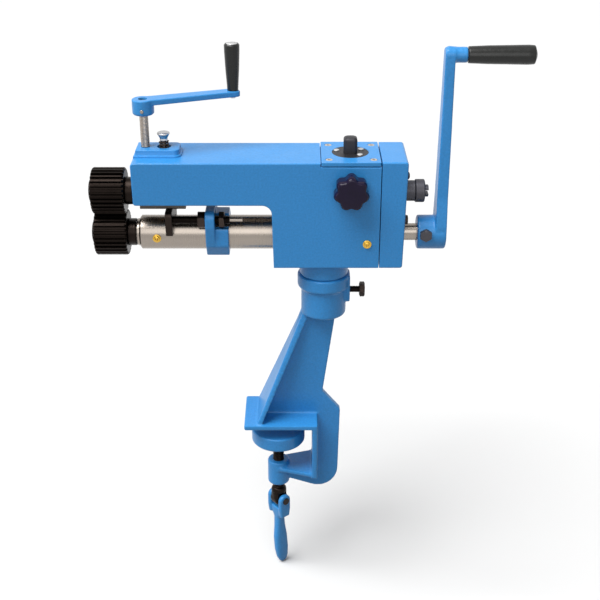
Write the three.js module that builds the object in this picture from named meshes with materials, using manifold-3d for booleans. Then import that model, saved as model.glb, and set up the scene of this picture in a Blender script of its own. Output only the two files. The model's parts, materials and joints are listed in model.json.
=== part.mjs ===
// A hand-cranked bead roller on a bench clamp stand.
// Frame: millimetres, +Z up, +X towards the crank, -Y towards the operator's view.
// The origin is on the underside of the jaw plate, where it sits on a bench top, on the clamp screw's axis.
import * as THREE from "three";
import { mergeVertices } from "three/addons/utils/BufferGeometryUtils.js";
import Module from "manifold-3d";

const wasm = await Module();
wasm.setup();

// Clearances
const fitGap = 0.05; // radial, round a piece that is fixed in a bore
const turnGap = 0.04; // radial, round a piece that turns or slides in a bore
const runGap = 0.5; // between faces that move past each other
const cutOver = 1; // how far a cutting tool runs past the face it opens

// Flats round a turned solid, by size
const fineSides = 28;
const midSides = 22;
const smallSides = 16;
const tinySides = 12;

// Bench clamp and mast
const jawPlateThick = 6;
const jawPlateLeft = 42; // from the clamp screw's axis to the plate's free edge
const jawPlateWidth = 74;
const jawThroat = 43.4; // from the clamp screw's axis to the spine
const jawHeight = 72; // from the plate's underside to the lower arm
const webThick = 10;
const flangeThick = 6;
const spineWebDepth = 28;
const spineFlangeWidth = 62; // at its lower end
const lowerArmDepth = 38; // web below the lower arm's flange, at the spine
const nutBossRadius = 14;
const nutBossRise = 5.4; // above the lower arm's flange
const nutBossHeight = 34;
const mastAxisX = 56.5; // swivel axis, from the clamp screw's axis
const mastWaistWidth = 38; // web width under the collar
const mastFootWidth = 62; // web width of the slanting mast where it reaches the plate
const mastFootLeft = 25;
const mastKneeHeight = 38; // where the web's back edge turns out to the spine
const mastKneeX = 56.4;
const collarBarrelRadius = 27;
const collarBarrelHeight = 34;
const collarRingRadius = 31.5;
const collarRingHeight = 15;
const collarTaper = 4;
const collarTop = 202; // above the bench seat
const socketRadius = 20.3;
const socketDepth = 44;
const lockBossRadius = 13;
const lockBossDrop = 23; // lock bolt axis below the collar's top

// Clamp screw, pad and lever
const screwRadius = 7;
const jawOpening = 17; // pad top below the plate at rest
const padRadius = 34;
const padRimHeight = 18;
const padDomeHeight = 9;
const padSocketDepth = 20;
const padBossRadius = 12;
const screwEyeDrop = 8.4; // eye below the nut boss at rest
const eyeRadius = 10;
const eyeNeckHeight = 9;
const tangThick = 14;
const leverPinRadius = 3;
const leverLength = 106; // from the pin to the tip
const leverCheekThick = 7;
const leverWaist = 13.5;
const leverBladeWidth = 19;
const leverBladeThick = 9;
const leverCheekRadius = 8.5;
const leverAzimuth = -50; // degrees: how far the eye is turned at rest

// Swivel spigot and its lock bolt
const neckRadius = 29;
const neckHeight = 21;
const spigotRadius = 20;
const spigotLength = 40;
const spigotStubRadius = 12;
const spigotStubLength = 12;
const lockBoltRadius = 4;
const lockHeadRadius = 9; // a round head round the hexagon that the photo shows
const lockHeadThick = 6;
const lockBoltReach = 12; // bare shank between the boss and the head

// Head casting, arm and gear cover
const headDepth = 75;
const headLeft = -2.5; // throat wall at the casting's foot
const throatDraft = 1.8; // how far the throat wall leans out over its height
const coverSeamX = 119;
const coverThick = 30.3;
const coverDraft = 2.7; // how far the cover's end face leans in at the foot
const armLength = 157.2; // nose to throat
const armHeight = 50.3;
const throatFillet = 11;
const lowerAxisRise = 30.5; // lower shaft above the casting's foot
const shaftSpacing = 51.5;
const armTopRise = 45.5; // arm top above the upper shaft
const plateProud = 1.2; // top plate and cover above the arm
const topPlateThick = 5.5;
const plateEndGap = 0.4;
const countersinkDepth = 2.2;
const topPlateLength = 67.5;
const topPlateScrewSpacingX = 50;
const topPlateScrewSpacingY = 52;
const gearPocketDepth = 22;
const noseBossLength = 53;
const noseBossWidth = 31;
const noseBossHeight = 8;
const tunnelWidth = 55;
const tunnelRoof = 10;
const headBoreRadius = 16; // round the upper shaft inside the head

// Shafts
const shaftRadius = 11;
const rollOverhang = 50; // nose face to the outer end of the rolls
const crankShaftRadius = 10;
const upperTailRadius = 9;
const upperTailReach = 28;

// Rolls
const rollWidth = 38;
const rollTeeth = 28;
const rollTipRadius = 27;
const rollRootRadius = 24.05;
const rollTipShare = 0.3; // tooth width at the tip, as a share of the tooth pitch
const rollRootShare = 0.6;
const rollChamfer = 1.6;
const rollScrewHeadRadius = 13;
const rollScrewHeadThick = 3.6;
const rollScrewRadius = 4;
const rollScrewDepth = 18;
const rollSocketRadius = 5;
const shaftEndInset = 0.5; // shaft end inside the roll's outer face
const collarRadius = 16;
const upperCollarLength = 9.7;
const lowerCollarLength = 10;

// Gears
const gearWidth = 18;
const gearTeeth = 20;
const gearTipRadius = 27.1;
const gearRootRadius = 22.2;
const gearTipShare = 0.26;
const gearRootShare = 0.56;
const gearSideGap = 2;
const gearPocketGap = 1.1;
const tailHoleGap = 3.2; // round the upper shaft's tail, which dips as the nose end rises

// Lower shaft sleeve, bushes and oilers
const sleeveRadius = 20;
const sleeveBore = 13.3;
const sleeveChamfer = 4;
const sleeveStandoff = 2.2; // nose face to the sleeve's front end
const sleeveSeat = 32; // length of the sleeve inside the casting
const bushFlangeRadius = 16;
const bushFlangeThick = 3.2;
const frontBushLength = 26;
const rearBushRadius = 13.5;
const rearBushLength = 26;
const oilerRadius = 4.6;
const oilerReach = 3.6;
const oilerStemRadius = 2.6;
const oilerBite = 8; // stem in the casting
const sleeveOilerInset = 21; // from the sleeve's front end
const bodyOilerInset = 14; // from the cover's seam

// Bearing block, lift bolt and spring in the nose
const noseEndWall = 5.8;
const blockLength = 52.5;
const blockWidth = 43;
const blockSideGap = 0.15; // all round, between the block and the casting
const blockBelowAxis = 15;
const blockAboveAxis = 25.5;
const blockBushLength = 18;
const blockBushRadius = 15;
const blockBoreRadius = 12.5;
const noseHoleGap = 1.2; // round the shaft in the nose wall
const blockBushGap = 0.5; // radial, lets the shaft tilt
const liftTravel = 6;
const chamberHeadroom = 5;
const liftBoltInset = 35; // from the nose face
const liftBoltRadius = 3;
const liftBoltHeadRadius = 7.3;
const liftBoltHeadHeight = 9.5;
const liftBoltTop = 25; // head top above the arm
const liftBoltThread = 7;
const liftWellRadius = 8;
const liftWellDepth = 14;
const springMeanRadius = 5;
const springWireRadius = 1;
const springTurns = 6;
const springStepsPerTurn = 10;
const springWireSides = 6;
const springSeatGap = 0.02; // between the end turns and their seats
const blockScrewInset = 46; // from the nose face
const blockScrewSide = 14;
const blockScrewLength = 5;

// Pressure screw and its crank
const pressureInset = 14; // from the nose face
const pressureRadius = 5;
const pressureHubBottom = 45.7; // above the arm
const pressureHubHeight = 17.5;
const pressureHubRadius = 12.3;
const pressureArmLength = 105;
const pressureArmThick = 6;
const pressureArmRise = 7.5; // above the hub's foot
const pressureArmFoot = 20;
const pressurePinRise = 6;
const hubPinRadius = 2;
const pressureArmEndRadius = 9;
const pressureArmAzimuth = 20; // degrees from +X
const pressureGripHeight = 53;
const pressureGripFoot = 6.5;
const pressureGripHead = 8.9;
const gripRecess = 7;
const gripScrewRadius = 3;
const gripScrewHeadRadius = 5;

// Alignment disc, rear bearing and star knob
const alignerDiscRadius = 20.9;
const alignerBarrelRadius = 15;
const alignerPinRadius = 3;
const alignerEccentricity = 2;
const alignerShift = 1; // how far the disc moves the upper shaft along, each way
const discScrewRadius = 1.4;
const alignerPinReach = 5;
const alignerPostWidth = 15.5;
const alignerPostChamfer = 3;
const alignerPostHeight = 18;
const rearSleeveRadius = 24;
const rearSleeveLength = 38;
const swivelBallRadius = 17;
const swivelBallHalfWidth = 8.5;
const ballGap = 0.2; // between the ball and its seat, which have flats of their own
const starKnobRadius = 20;
const starKnobLobes = 7;
const starKnobLobeDepth = 3;
const starKnobThick = 19;
const starRise = 16.5; // above the upper shaft
const starStudGrip = 12; // length of the stud inside the knob
const starKnobStem = 4;
const starKnobStemRadius = 9;
const starStudRadius = 4;

// Rear end of the upper shaft
const spacerGap = 1.6; // cover face to spacer
const spacerRadius = 12;
const spacerLength = 11;
const lockNutRadius = 13.4;
const lockNutLength = 11;
const lockNutCrownRadius = 10.5;
const lockNutCrownLength = 4.5;
const lockNutSlots = 6;
const lockNutSlotWidth = 3.4;

// Crank
const crankRadius = 209.5;
const crankHubRadius = 20;
const crankHubLength = 33.5;
const crankHubGap = 17.8; // cover face to hub, along the shaft
const crankArmThick = 13;
const crankArmFoot = 30; // arm width at the hub
const crankArmHead = 18; // arm width at the grip
const crankStubLength = 13;
const hubBoltRise = 4.5; // above the hub's axis
const crankStubRadius = 8.6;
const crankGripLength = 76;
const crankGripFoot = 9.4;
const crankGripHead = 10.8;
const spindleRadius = 4;
const hubBoltInset = 9; // from the hub's inner end
const hexHeadRadius = 7.5; // across corners of an 8 mm bolt
const hexHeadThick = 5.3;
const hexShankRadius = 4;

// Cover fixings
const coverBoltSide = 22;
const coverBoltRise = 24; // above the lower shaft
const coverBoltRadius = 3;
const coverBoltHeadRadius = 5.6;
const coverBoltHeadThick = 4;
const coverScrewSide = 29;
const coverScrewDrop = 18; // below the cover's top
const smallScrewRadius = 2.2;
const smallScrewHeadRadius = 4.4;
const screwBite = 12; // length of a cover fixing in the casting
const plateScrewBite = 8; // length of a top plate screw in the casting

// Depth gauge on the sleeve
const gaugeLength = 26.5;
const gaugeRight = 50.2; // throat wall to the carriage
const gaugeWallThick = 11;
const gaugeRingRadius = 27;
const gaugeFlatDrop = 23; // flat foot below the sleeve's axis
const gaugeWallRise = 35; // top of the wall above the sleeve's axis
const gaugeWallHalfWidth = 20;
const gaugeFlatHalf = 17;
const gaugeRodForward = 20; // rod in front of the sleeve's axis
const gaugeRodRise = 23; // rod above the sleeve's axis
const gaugeRodRadius = 5;
const gaugeRodBossRadius = 12;
const gaugeRodLeftReach = 37.8; // rod left of the carriage, to the stop finger
const gaugeRodThreadPast = 17; // thread to the right of the wall
const gaugeRodTailLength = 15;
const gaugeRodTailRadius = 2.1;
const gaugeNutRadius = 9.7;
const gaugeNutLeftThick = 8.7;
const gaugeNutRightThick = 6.2;
const gaugeNutRightGap = 4.9; // wall to the slackened nut
const fingerThick = 8;
const fingerTopDrop = 1.8; // below the bearing block
const fingerFront = 30;
const fingerBack = 26;
const fingerFootRise = 5; // foot above the sleeve's axis

// Worked-out places
const headFoot = collarTop + runGap + neckHeight;
const lowerZ = headFoot + lowerAxisRise;
const upperZ = lowerZ + shaftSpacing;
const armTop = upperZ + armTopRise;
const armFoot = armTop - armHeight;
const headTop = armTop + plateProud;
const throatTopX = headLeft - throatDraft;
const noseX = throatTopX - armLength;
const coverX0 = coverSeamX;
const coverX1 = coverX0 + coverThick;
const coverFaceAt = (z) => coverX1 - (coverDraft * (headTop - z)) / (headTop - headFoot);
const rollLeft = noseX - rollOverhang;
const rollRight = rollLeft + rollWidth;
const halfDepth = headDepth / 2;
const alignerX = coverSeamX - topPlateLength / 2;
const gearX0 = coverSeamX + gearSideGap;
const chamberX0 = noseX + noseEndWall;
const blockX0 = chamberX0 + blockSideGap;
const blockX1 = blockX0 + blockLength;
const chamberX1 = blockX1 + blockSideGap;
const chamberTop = upperZ + blockAboveAxis + liftTravel + chamberHeadroom;
const blockBushX = (blockX0 + blockX1) / 2;
const pressureX = noseX + pressureInset;
const liftX = noseX + liftBoltInset;
const noseBossTop = armTop + noseBossHeight;
const tiltSlope = liftTravel / (alignerX - blockBushX); // shaft rise per length at full lift
const sleeveX0 = noseX + sleeveStandoff;
const sleeveX1 = headLeft + sleeveSeat;
const lowerFaceX = coverFaceAt(lowerZ);
const upperFaceX = coverFaceAt(upperZ);
const nutBossTop = -jawHeight + nutBossRise;
const nutBossFoot = nutBossTop - nutBossHeight;
const eyeTop = nutBossFoot - screwEyeDrop;
const leverPinZ = eyeTop - eyeNeckHeight - eyeRadius;
const gaugeX1 = throatTopX - gaugeRight;
const gaugeX0 = gaugeX1 - gaugeLength;
const gaugeWallX1 = gaugeX0 + gaugeWallThick;
const rodAxisZ = lowerZ + gaugeRodRise;
const rodAxisY = -gaugeRodForward;
const lockZ = collarTop - lockBossDrop;
const lockLugX = 88;
const lockHeadX = lockLugX + lockBoltReach;
const plateSeatZ = headTop - topPlateThick;
const starZ = upperZ + starRise;
const starKnobY = -halfDepth - starKnobStem - runGap;
const alignerBarrelFoot = upperZ + rearSleeveRadius + runGap;
const rearSleeveX0 = alignerX - rearSleeveLength / 2 - alignerShift - runGap;
const gearDip = tiltSlope * (gearX0 + gearWidth - alignerX);
const bodyOilerX = coverSeamX - bodyOilerInset;
const sleeveOilerX = sleeveX0 + sleeveOilerInset;
const crankHubX0 = lowerFaceX + crankHubGap;
const crankHubX1 = crankHubX0 + crankHubLength;
const crankArmX0 = crankHubX1 - crankArmThick;
const crankGripZ = lowerZ + crankRadius;
const crankTop = crankGripZ + crankArmHead / 2;
const crankStubX1 = crankHubX1 + crankStubLength;
const hubBoltX = crankHubX0 + hubBoltInset;
const hubBoltZ = lowerZ + hubBoltRise;
const spacerX0 = upperFaceX + spacerGap;
const upperTailX1 = spacerX0 + spacerLength + lockNutLength + lockNutCrownLength - 1;
const blockBushX0 = blockBushX - blockBushLength / 2;
const blockScrewX = noseX + blockScrewInset;
const pressureArmZ = armTop + pressureHubBottom + pressureArmRise;
const pressurePinZ = armTop + pressureHubBottom + pressurePinRise;
const armTurn = (pressureArmAzimuth * Math.PI) / 180;
const gripPlace = [
  pressureX + pressureArmLength * Math.cos(armTurn),
  pressureArmLength * Math.sin(armTurn),
];
const fingerX1 = gaugeX0 - gaugeRodLeftReach;
const fingerX0 = fingerX1 - fingerThick;
const plateMidX = coverSeamX - topPlateLength / 2 + 0.4;
const plateScrewPlaces = [
  [plateMidX - topPlateScrewSpacingX / 2, -topPlateScrewSpacingY / 2],
  [plateMidX - topPlateScrewSpacingX / 2, topPlateScrewSpacingY / 2],
  [plateMidX + topPlateScrewSpacingX / 2, -topPlateScrewSpacingY / 2],
  [plateMidX + topPlateScrewSpacingX / 2, topPlateScrewSpacingY / 2],
];
const alignerScrewPlaces = [
  [alignerX - 15.5, 6],
  [alignerX + 10.5, -10],
];
const coverFixings = [
  [-coverBoltSide, lowerZ + coverBoltRise, coverBoltRadius],
  [-coverScrewSide, headTop - coverScrewDrop, smallScrewRadius],
  [coverScrewSide, headTop - coverScrewDrop, smallScrewRadius],
];

// Materials
const finish = (color, roughness, metalness) =>
  new THREE.MeshStandardMaterial({ color, roughness, metalness });
const paint = {
  enamel: () => finish(0x3d82c8, 0.35, 0.1),
  blackSteel: () => finish(0x241d1b, 0.45, 0.8),
  brightSteel: () => finish(0xb9b3aa, 0.3, 1),
  plated: () => finish(0xd6d6d4, 0.15, 1),
  bronze: () => finish(0xa8783a, 0.4, 1),
  brass: () => finish(0xd8a428, 0.25, 1),
  blackPlastic: () => finish(0x1d1a22, 0.3, 0),
  castIron: () => finish(0x4a4744, 0.6, 0.7),
};

// Shapes are built as closed solids so that they can be cut and joined.
function solid(geometry) {
  const bare = geometry.index ? geometry.toNonIndexed() : geometry.clone();
  bare.deleteAttribute("normal");
  bare.deleteAttribute("uv");
  const merged = mergeVertices(bare, 1e-4);
  const triVerts = new Uint32Array(merged.index.array);
  const build = () =>
    new wasm.Manifold(
      new wasm.Mesh({
        numProp: 3,
        vertProperties: merged.attributes.position.array,
        triVerts,
      }),
    );
  const made = build();
  if (made.volume() >= 0) return made;
  // A profile drawn the other way round gives inward faces, so each face is turned.
  for (let i = 0; i < triVerts.length; i += 3) {
    [triVerts[i + 1], triVerts[i + 2]] = [triVerts[i + 2], triVerts[i + 1]];
  }
  return build();
}

const join = (...solids) => solids.reduce((sum, one) => sum.add(one));
const cut = (from, ...tools) => tools.reduce((rest, tool) => rest.subtract(tool), from);

function box(x0, x1, y0, y1, z0, z1) {
  const g = new THREE.BoxGeometry(x1 - x0, y1 - y0, z1 - z0);
  g.translate((x0 + x1) / 2, (y0 + y1) / 2, (z0 + z1) / 2);
  return solid(g);
}

// Solids turned about an axis. A profile lists [distance along the axis, radius] and closes on the axis,
// or on itself where the first point comes again.
function turned(profile, segments, toAxis) {
  const points = profile.map(([along, radius]) => new THREE.Vector2(Math.max(radius, 0), along));
  const g = new THREE.LatheGeometry(points, segments);
  toAxis(g);
  return g;
}
const alongX = (g) => g.rotateZ(-Math.PI / 2);
const alongY = (g) => g;
const alongZ = (g) => g.rotateX(Math.PI / 2);

function turnedX(profile, y = 0, z = 0, segments = midSides) {
  return solid(turned(profile, segments, alongX).translate(0, y, z));
}
function turnedY(profile, x = 0, z = 0, segments = midSides) {
  return solid(turned(profile, segments, alongY).translate(x, 0, z));
}
function turnedZ(profile, x = 0, y = 0, segments = midSides) {
  return solid(turned(profile, segments, alongZ).translate(x, y, 0));
}
const barX = (x0, x1, r, y = 0, z = 0, segments = midSides) =>
  turnedX([[x0, 0], [x0, r], [x1, r], [x1, 0]], y, z, segments);
const barY = (y0, y1, r, x = 0, z = 0, segments = smallSides) =>
  turnedY([[y0, 0], [y0, r], [y1, r], [y1, 0]], x, z, segments);
const barZ = (z0, z1, r, x = 0, y = 0, segments = midSides) =>
  turnedZ([[z0, 0], [z0, r], [z1, r], [z1, 0]], x, y, segments);
const tubeX = (x0, x1, inner, outer, y = 0, z = 0, segments = fineSides) =>
  turnedX([[x0, inner], [x0, outer], [x1, outer], [x1, inner], [x0, inner]], y, z, segments);

// Straight solids drawn as an outline: in X and Z run along Y, in Y and Z run along X, in X and Y run along Z.
function prism(outline, length, basis) {
  const shape = new THREE.Shape(outline.map(([a, b]) => new THREE.Vector2(a, b)));
  const g = new THREE.ExtrudeGeometry(shape, { depth: length, bevelEnabled: false });
  return g.applyMatrix4(new THREE.Matrix4().makeBasis(...basis));
}
const unitX = new THREE.Vector3(1, 0, 0);
const unitY = new THREE.Vector3(0, 1, 0);
const unitZ = new THREE.Vector3(0, 0, 1);
function slabX(outline, x0, x1) {
  return solid(prism(outline, x1 - x0, [unitY, unitZ, unitX]).translate(x0, 0, 0));
}
function slabY(outline, y0, y1) {
  const back = unitY.clone().negate();
  return solid(prism(outline, y1 - y0, [unitX, unitZ, back]).translate(0, y1, 0));
}
function slabZ(outline, z0, z1) {
  return solid(prism(outline, z1 - z0, [unitX, unitY, unitZ]).translate(0, 0, z0));
}

// An outline [a, b, corner radius] with its corners rounded.
function rounded(corners, steps = 5) {
  const points = [];
  corners.forEach(([a, b, radius = 0], i) => {
    const here = new THREE.Vector2(a, b);
    if (!radius) {
      points.push([a, b]);
      return;
    }
    const count = corners.length;
    const toLast = new THREE.Vector2(...corners[(i + count - 1) % count]).sub(here).normalize();
    const toNext = new THREE.Vector2(...corners[(i + 1) % count]).sub(here).normalize();
    const half = Math.acos(THREE.MathUtils.clamp(toLast.dot(toNext), -1, 1)) / 2;
    const bisector = toLast.clone().add(toNext).normalize();
    const centre = here.clone().addScaledVector(bisector, radius / Math.sin(half));
    const start = here.clone().addScaledVector(toLast, radius / Math.tan(half)).sub(centre);
    const end = here.clone().addScaledVector(toNext, radius / Math.tan(half)).sub(centre);
    const turn = Math.atan2(start.cross(end), start.dot(end));
    for (let k = 0; k <= steps; k += 1) {
      const p = start.clone().rotateAround(new THREE.Vector2(), (turn * k) / steps).add(centre);
      points.push([p.x, p.y]);
    }
  });
  return points;
}

// A skin over rings of points, closed by a fan at each end.
function loft(rings) {
  const count = rings[0].length;
  const positions = [];
  const middle = (ring) => [0, 1, 2].map((axis) => ring.reduce((s, p) => s + p[axis], 0) / count);
  const face = (...corners) => corners.forEach((p) => positions.push(...p));
  const first = middle(rings[0]);
  const last = middle(rings[rings.length - 1]);
  for (let i = 0; i < count; i += 1) {
    const j = (i + 1) % count;
    face(first, rings[0][j], rings[0][i]);
    face(last, rings[rings.length - 1][i], rings[rings.length - 1][j]);
    for (let r = 0; r + 1 < rings.length; r += 1) {
      face(rings[r][i], rings[r][j], rings[r + 1][j]);
      face(rings[r][i], rings[r + 1][j], rings[r + 1][i]);
    }
  }
  const g = new THREE.BufferGeometry();
  g.setAttribute("position", new THREE.Float32BufferAttribute(positions, 3));
  return solid(g);
}

// A toothed ring outline about the X axis, drawn at one distance along it.
function toothRing(x, teeth, radii, shares, limit, phase, z) {
  const [tip, root] = radii;
  const [tipShare, rootShare] = shares;
  const pitch = (2 * Math.PI) / teeth;
  const ring = [];
  for (let i = 0; i < teeth; i += 1) {
    const at = (i + phase) * pitch;
    const corner = (radius, angle) => {
      const r = Math.min(radius, limit);
      ring.push([x, r * Math.cos(at + angle), z + r * Math.sin(at + angle)]);
    };
    corner(root, (-rootShare * pitch) / 2);
    corner(tip, (-tipShare * pitch) / 2);
    corner(tip, (tipShare * pitch) / 2);
    corner(root, (rootShare * pitch) / 2);
  }
  return ring;
}

function toothedWheel(x0, x1, teeth, radii, shares, chamfer, phase, z) {
  const edge = radii[0] - chamfer;
  const ring = (x, limit) => toothRing(x, teeth, radii, shares, limit, phase, z);
  return loft([
    ring(x0, edge),
    ring(x0 + chamfer, radii[0]),
    ring(x1 - chamfer, radii[0]),
    ring(x1, edge),
  ]);
}

// A bore's radius, opened so that its flats clear a round piece by the gap at any angle.
const boreRadius = (r, gap, segments) => (r + gap) / Math.cos(Math.PI / segments);

function hexX(x0, x1, r, y, z, turn = 0) {
  const outline = [];
  for (let i = 0; i < 6; i += 1) {
    const at = turn + (i * Math.PI) / 3;
    outline.push([y + r * Math.cos(at), z + r * Math.sin(at)]);
  }
  return slabX(outline, x0, x1);
}

// Bench clamp and mast

function mastWeb() {
  const outline = rounded([
    [31, collarTop - socketDepth - 2],
    [71, collarTop - socketDepth - 2],
    [71, 146, 20],
    [mastKneeX, mastKneeHeight, 30],
    [78.9, 11, 14],
    [76.7, -95, 10],
    [54.2, -109.8, 10],
    [12, -94, 8],
    [8, -jawHeight - flangeThick / 2],
    [jawThroat + 2, -jawHeight - flangeThick / 2],
    [jawThroat + 2, jawPlateThick / 2],
    [-22, jawPlateThick / 2],
  ]);
  return slabY(outline, -webThick / 2, webThick / 2);
}

function mastFlange() {
  const slant = [
    [32, 162],
    [-29.2, 2],
    [-22.2, 2],
    [39, 162],
  ];
  const taper = [
    [-halfDepth, 0],
    [halfDepth, 0],
    [collarBarrelRadius - 1, 162],
    [-collarBarrelRadius + 1, 162],
  ];
  return slabY(slant, -halfDepth, halfDepth).intersect(slabX(taper, -60, 60));
}

function spineFlange() {
  const half = jawPlateWidth / 2;
  const outline = [
    [-half, jawPlateThick / 2],
    [-spineFlangeWidth / 2, -jawHeight - flangeThick],
    [spineFlangeWidth / 2, -jawHeight - flangeThick],
    [half, jawPlateThick / 2],
  ];
  return slabX(outline, jawThroat, jawThroat + flangeThick + 1);
}

function lowerArmFlange() {
  const outline = rounded([
    [-6, -13],
    [jawThroat + flangeThick + 1, -spineFlangeWidth / 2],
    [jawThroat + flangeThick + 1, spineFlangeWidth / 2],
    [-6, 13],
  ]);
  return slabZ(outline, -jawHeight - flangeThick, -jawHeight);
}

function jawPlate() {
  const half = jawPlateWidth / 2;
  const outline = rounded([
    [-jawPlateLeft, -half, 8],
    [jawThroat + flangeThick + 1, -half, 3],
    [jawThroat + flangeThick + 1, half, 3],
    [-jawPlateLeft, half, 8],
  ]);
  return slabZ(outline, 0, jawPlateThick);
}

function mastCollar() {
  const foot = collarTop - collarRingHeight - collarTaper - collarBarrelHeight;
  const profile = [
    [foot, 0],
    [foot, collarBarrelRadius - 3],
    [foot + 3, collarBarrelRadius],
    [foot + collarBarrelHeight, collarBarrelRadius],
    [collarTop - collarRingHeight, collarRingRadius],
    [collarTop - 1, collarRingRadius],
    [collarTop, collarRingRadius - 1],
    [collarTop, 0],
  ];
  const lug = rounded([
    [-12, collarTop - 36, 5],
    [12, collarTop - 36, 5],
    [12, collarTop - 1.5, 3],
    [-12, collarTop - 1.5, 3],
  ]);
  return join(turnedZ(profile, mastAxisX, 0, fineSides), slabX(lug, mastAxisX, lockLugX));
}

function clampStand() {
  const body = join(mastWeb(), mastFlange(), spineFlange(), lowerArmFlange(), jawPlate(), mastCollar());
  const boss = barZ(nutBossFoot, nutBossTop, nutBossRadius);
  const screwHole = barZ(nutBossFoot - cutOver, nutBossTop + cutOver, boreRadius(screwRadius, turnGap, midSides));
  const socket = barZ(collarTop - socketDepth, collarTop + cutOver, socketRadius, mastAxisX, 0, fineSides);
  const lockHole = boreRadius(lockBoltRadius, turnGap, midSides);
  const lockWay = barX(mastAxisX, lockLugX + cutOver, lockHole, 0, lockZ);
  return cut(join(body, boss), screwHole, socket, lockWay);
}

function swivelLockBolt() {
  const tip = mastAxisX + spigotRadius + runGap;
  return turnedX(
    [
      [tip, 0],
      [tip, lockBoltRadius - 1],
      [tip + 1, lockBoltRadius],
      [lockHeadX, lockBoltRadius],
      [lockHeadX, lockHeadRadius],
      [lockHeadX + lockHeadThick - 1.2, lockHeadRadius],
      [lockHeadX + lockHeadThick, lockHeadRadius - 1.2],
      [lockHeadX + lockHeadThick, 0],
    ],
    0,
    lockZ,
    midSides,
  );
}

function clampPad() {
  const top = -jawOpening;
  const rim = top - padRimHeight;
  const foot = rim - padDomeHeight;
  const profile = [
    [foot, 0],
    [foot, padBossRadius],
    [foot + 4, padRadius - 12],
    [rim, padRadius - 1.5],
    [rim + 2, padRadius],
    [top - 2, padRadius],
    [top, padRadius - 2],
    [top, 0],
  ];
  const socket = barZ(foot - cutOver, foot + padSocketDepth, boreRadius(screwRadius, turnGap, midSides));
  return cut(turnedZ(profile, 0, 0, fineSides), socket);
}

// The eye, its pin and the lever are drawn with the pin along Y, then turned to their place.
const turnEye = (piece) => piece.rotate([0, 0, leverAzimuth - 90]);

function clampScrew() {
  const top = -jawOpening - padRimHeight - padDomeHeight + padSocketDepth;
  const rod = turnedZ([
    [eyeTop - 2, 0],
    [eyeTop - 2, screwRadius],
    [top - 1, screwRadius],
    [top, screwRadius - 1],
    [top, 0],
  ], 0, 0, midSides);
  const neck = turnedZ([
    [eyeTop - eyeNeckHeight, 0],
    [eyeTop - eyeNeckHeight, eyeRadius],
    [eyeTop - 2, eyeRadius],
    [eyeTop, eyeRadius - 2],
    [eyeTop, 0],
  ]);
  const eye = barY(-tangThick / 2, tangThick / 2, eyeRadius, 0, leverPinZ, midSides);
  const tang = box(-eyeRadius, eyeRadius, -tangThick / 2, tangThick / 2, leverPinZ, eyeTop - eyeNeckHeight + 1);
  const hole = boreRadius(leverPinRadius, turnGap, smallSides);
  const pinWay = barY(-eyeRadius - cutOver, eyeRadius + cutOver, hole, 0, leverPinZ);
  return turnEye(cut(join(rod, neck, eye, tang), pinWay));
}

function clampLeverPin() {
  const half = tangThick / 2 + runGap + leverCheekThick;
  const pin = turnedY(
    [
      [-half - 1.5, 0],
      [-half - 1.5, leverPinRadius + 1],
      [-half, leverPinRadius + 1.8],
      [-half, leverPinRadius],
      [half, leverPinRadius],
      [half, leverPinRadius + 1.8],
      [half + 1.5, leverPinRadius + 1],
      [half + 1.5, 0],
    ],
    0,
    leverPinZ,
    smallSides,
  );
  return turnEye(pin);
}

function leverCheek(side) {
  const near = side * (tangThick / 2 + runGap);
  const far = side * (tangThick / 2 + runGap + leverCheekThick);
  const low = Math.min(near, far);
  const high = Math.max(near, far);
  const cap = barY(low, high, leverCheekRadius, 0, leverPinZ, midSides);
  const r = leverCheekRadius;
  const side2 = slabY(
    [
      [-r, leverPinZ],
      [-r, leverPinZ - 14],
      [-leverWaist / 2, leverPinZ - 22],
      [leverWaist / 2, leverPinZ - 22],
      [r, leverPinZ - 14],
      [r, leverPinZ],
    ],
    low,
    high,
  );
  return join(cap, side2);
}

function leverBlade() {
  const rings = [];
  const stations = [
    [-13.5, leverWaist, 2 * (tangThick / 2 + runGap + leverCheekThick)],
    [-20, leverWaist, 2 * (tangThick / 2 + runGap + leverCheekThick)],
    [-31, leverWaist, 13],
    [-46, leverWaist + 3.5, leverBladeThick + 1.5],
    [-64, leverBladeWidth, leverBladeThick],
    [-84, leverBladeWidth - 0.5, leverBladeThick - 0.5],
    [-97, leverBladeWidth - 4.5, leverBladeThick - 1.5],
    [-leverLength + 2, leverBladeWidth - 10.5, leverBladeThick - 3.5],
    [-leverLength, 3.5, 2.5],
  ];
  for (const [drop, width, depth] of stations) {
    const ring = [];
    for (let i = 0; i < 16; i += 1) {
      const at = (i * 2 * Math.PI) / 16;
      const power = (v) => Math.sign(v) * Math.abs(v) ** 0.7;
      const x = (power(Math.cos(at)) * width) / 2;
      const y = (power(Math.sin(at)) * depth) / 2;
      ring.push([x, y, leverPinZ + drop]);
    }
    rings.push(ring);
  }
  return loft(rings);
}

function clampLever() {
  const body = join(leverCheek(1), leverCheek(-1), leverBlade());
  const half = tangThick / 2 + runGap + leverCheekThick + cutOver;
  const hole = boreRadius(leverPinRadius, fitGap, smallSides);
  const pinWay = barY(-half, half, hole, 0, leverPinZ);
  const eyeWay = barY(-tangThick / 2 - runGap, tangThick / 2 + runGap, eyeRadius + runGap, 0, leverPinZ, midSides);
  return turnEye(cut(body, pinWay, eyeWay));
}

// Swivelling head

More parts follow.
